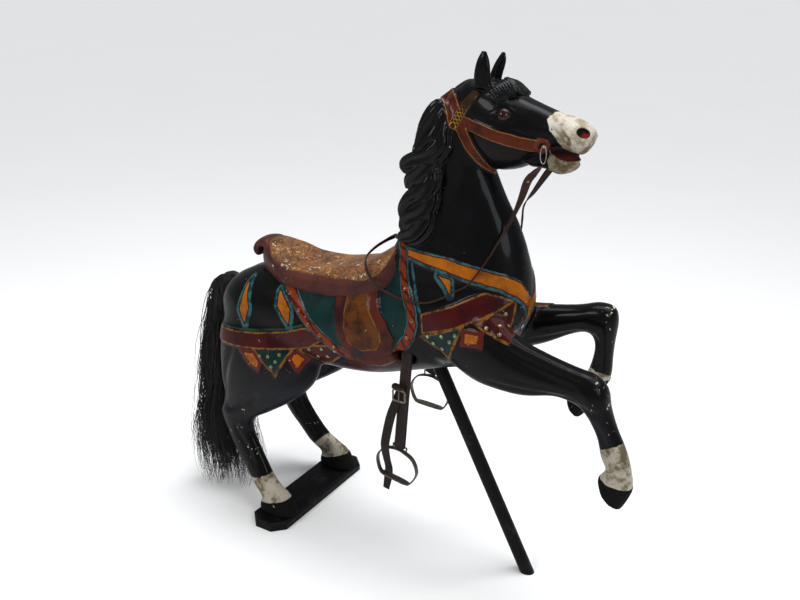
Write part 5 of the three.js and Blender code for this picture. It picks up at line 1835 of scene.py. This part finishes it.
class HORSE_OT_hang_leathers(bpy.types.Operator):
    """Hangs the stirrup leathers with their buckles and stitching"""
    bl_idname = "carousel_horse.hang_leathers"
    bl_label = "Hang Stirrup Leathers"

    def execute(self, context):
        leather = worn_leather("stirrup_leather", linear(24, 17, 14), linear(54, 38, 30))
        metal = old_iron("buckle_iron", linear(110, 102, 92), linear(84, 62, 44))
        thread_places, thread_runs = [], []
        for name, stirrup in STIRRUPS.items():
            route, along, out = doubled_strap(stirrup)
            shells = [strap(route, 4.2, rows=8)]
            if name == "right":
                shells.append(strap(SPARE_END, 3.6, rows=10))
            across = np.cross(along, out)
            keeper = []
            for turn in turns(32):
                wide = bent(math.cos(turn), 0.35) * (LEATHER_WIDTH / 2 + 3)
                deep = bent(math.sin(turn), 0.35) * 9
                keeper.append(np.array(stirrup["keeper"]) + across * wide + out * deep - along * 26)
            shells.append(ring_bar(np.array(keeper), 1.3, 6, along, 8, 0.6))
            new_piece("strap_leather_" + name, together(shells), leather,
                "leather_" + name)
            start, finish = np.array(route[0][:3]), np.array(route[3][:3])
            for edge in (-1, 1):
                for share in np.linspace(0.06, 0.97, 34):
                    place = start + (finish - start) * share + across * edge * 13
                    thread_places.append(place + out * 2.4)
                    thread_runs.append(along)
            x, y, z = stirrup["buckle"]
            frame_path = closed_curve([(x - 19, y, z - 16), (x, y, z - 18), (x + 19, y, z - 16),
                (x + 20, y, z), (x + 19, y, z + 16), (x, y, z + 18), (x - 19, y, z + 16),
                (x - 20, y, z)], 64)
            buckle = [ring_bar(frame_path, 3.0, 2.0, (0, 1, 0), 10, 0.7),
                bar_between((x, y, z + 16), (x, y + stirrup["hand"] * 2.5, z - 19), 2.0, 12)]
            new_piece("strap_buckle_" + name, together(buckle), metal,
                "buckle_" + name)
        thread = worn_leather("waxed_thread", linear(120, 96, 66), linear(160, 134, 98))
        stitches("leather_stitches", thread_places, thread_runs, thread, "stirrup_leather")
        return {"FINISHED"}


# ---- stage ----

FLOOR_REACH = 60000  # from the middle of the floor to each edge, in millimetres


def soft_light(name, place, aim, size, power, tone):
    data = bpy.data.lights.new(name, "AREA")
    data.shape = "ELLIPSE"
    data.size, data.size_y = size
    data.energy = power
    data.color = tone
    lamp = in_scene(name, data)
    lamp.location = place
    lamp.rotation_euler = (Vector(aim) - Vector(place)).to_track_quat("-Z", "Y").to_euler()


class HORSE_OT_set_stage(bpy.types.Operator):
    """Sets the camera, a pale floor and soft light"""
    bl_idname = "carousel_horse.set_stage"
    bl_label = "Set Stage"

    def execute(self, context):
        stage = settings().stage
        data = bpy.data.cameras.new("view")
        data.lens = stage.lens
        data.sensor_width = 36
        camera = in_scene("view", data)
        camera.location = stage.camera_place
        aim = Vector(stage.camera_aim) - Vector(stage.camera_place)
        camera.rotation_euler = aim.to_track_quat("-Z", "Y").to_euler()
        context.scene.camera = camera
        context.scene.view_settings.view_transform = "Standard"

        corners = [(x * FLOOR_REACH, y * FLOOR_REACH, 0) for x,
            y in ((-1, -1), (1, -1), (1, 1), (-1, 1))]
        mesh = new_mesh("floor", corners, faces=[(0, 1, 2, 3)])
        mesh.materials.append(pale_floor())
        floor = in_scene("floor", mesh)

        world = bpy.data.worlds.new("studio")
        world.use_nodes = True
        background = world.node_tree.nodes["Background"]
        background.inputs["Color"].default_value = (0.93, 0.96, 1.0, 1)
        background.inputs["Strength"].default_value = 0.36
        context.scene.world = world
        middle = (0.4, 0, 0.8)
        sun = bpy.data.lights.new("sky_light", "SUN")
        sun.energy, sun.angle = 2.0, 0.9
        sky = in_scene("sky_light", sun)
        sky.rotation_euler = Vector((0.35, 0.25, 1.0)).to_track_quat("Z", "Y").to_euler()
        soft_light("key", (-0.9, -2.6, 3.2), middle, (1.8, 1.2), 60, (1.0, 0.98, 0.95))
        soft_light("fill", (3.0, -1.2, 2.2), middle, (1.4, 1.4), 26, (0.92, 0.96, 1.0))
        soft_light("top", (0.2, 0.6, 3.6), middle, (2.4, 1.4), 54, (0.94, 0.97, 1.0))
        return {"FINISHED"}


# ---- add-on ----

BUILDERS = (HORSE_OT_set_stage, HORSE_OT_carve_body, HORSE_OT_carve_head, HORSE_OT_carve_saddle,
    HORSE_OT_build_stand, HORSE_OT_grow_tail, HORSE_OT_set_eyes, HORSE_OT_hang_rein_hooks,
    HORSE_OT_lay_reins, HORSE_OT_forge_stirrups, HORSE_OT_hang_leathers, HORSE_OT_set_jewels)


class HORSE_PT_builders(bpy.types.Panel):
    """Lists the pieces of the carousel horse"""
    bl_idname = "HORSE_PT_builders"
    bl_label = "Carousel Horse"
    bl_space_type = "VIEW_3D"
    bl_region_type = "UI"
    bl_category = "Carousel Horse"

    def draw(self, context):
        for builder in BUILDERS:
            self.layout.operator(builder.bl_idname)
        chosen = settings()
        for group in (chosen.carving, chosen.paint, chosen.hair, chosen.jewels, chosen.stage):
            box = self.layout.box()
            for name in group.__annotations__:
                box.prop(group, name)


CLASSES = (CarvingSettings, PaintSettings, HairSettings, JewelSettings, StageSettings,
    CarouselHorseSettings, *BUILDERS, HORSE_PT_builders)


def register():
    for cls in CLASSES:
        bpy.utils.register_class(cls)
    bpy.types.Scene.carousel_horse = bpy.props.PointerProperty(type=CarouselHorseSettings)


def unregister():
    del bpy.types.Scene.carousel_horse
    for cls in reversed(CLASSES):
        bpy.utils.unregister_class(cls)


def main():
    register()
    for builder in BUILDERS:
        group, name = builder.bl_idname.split(".")
        getattr(getattr(bpy.ops, group), name)()


if __name__ == "__main__":
    main()
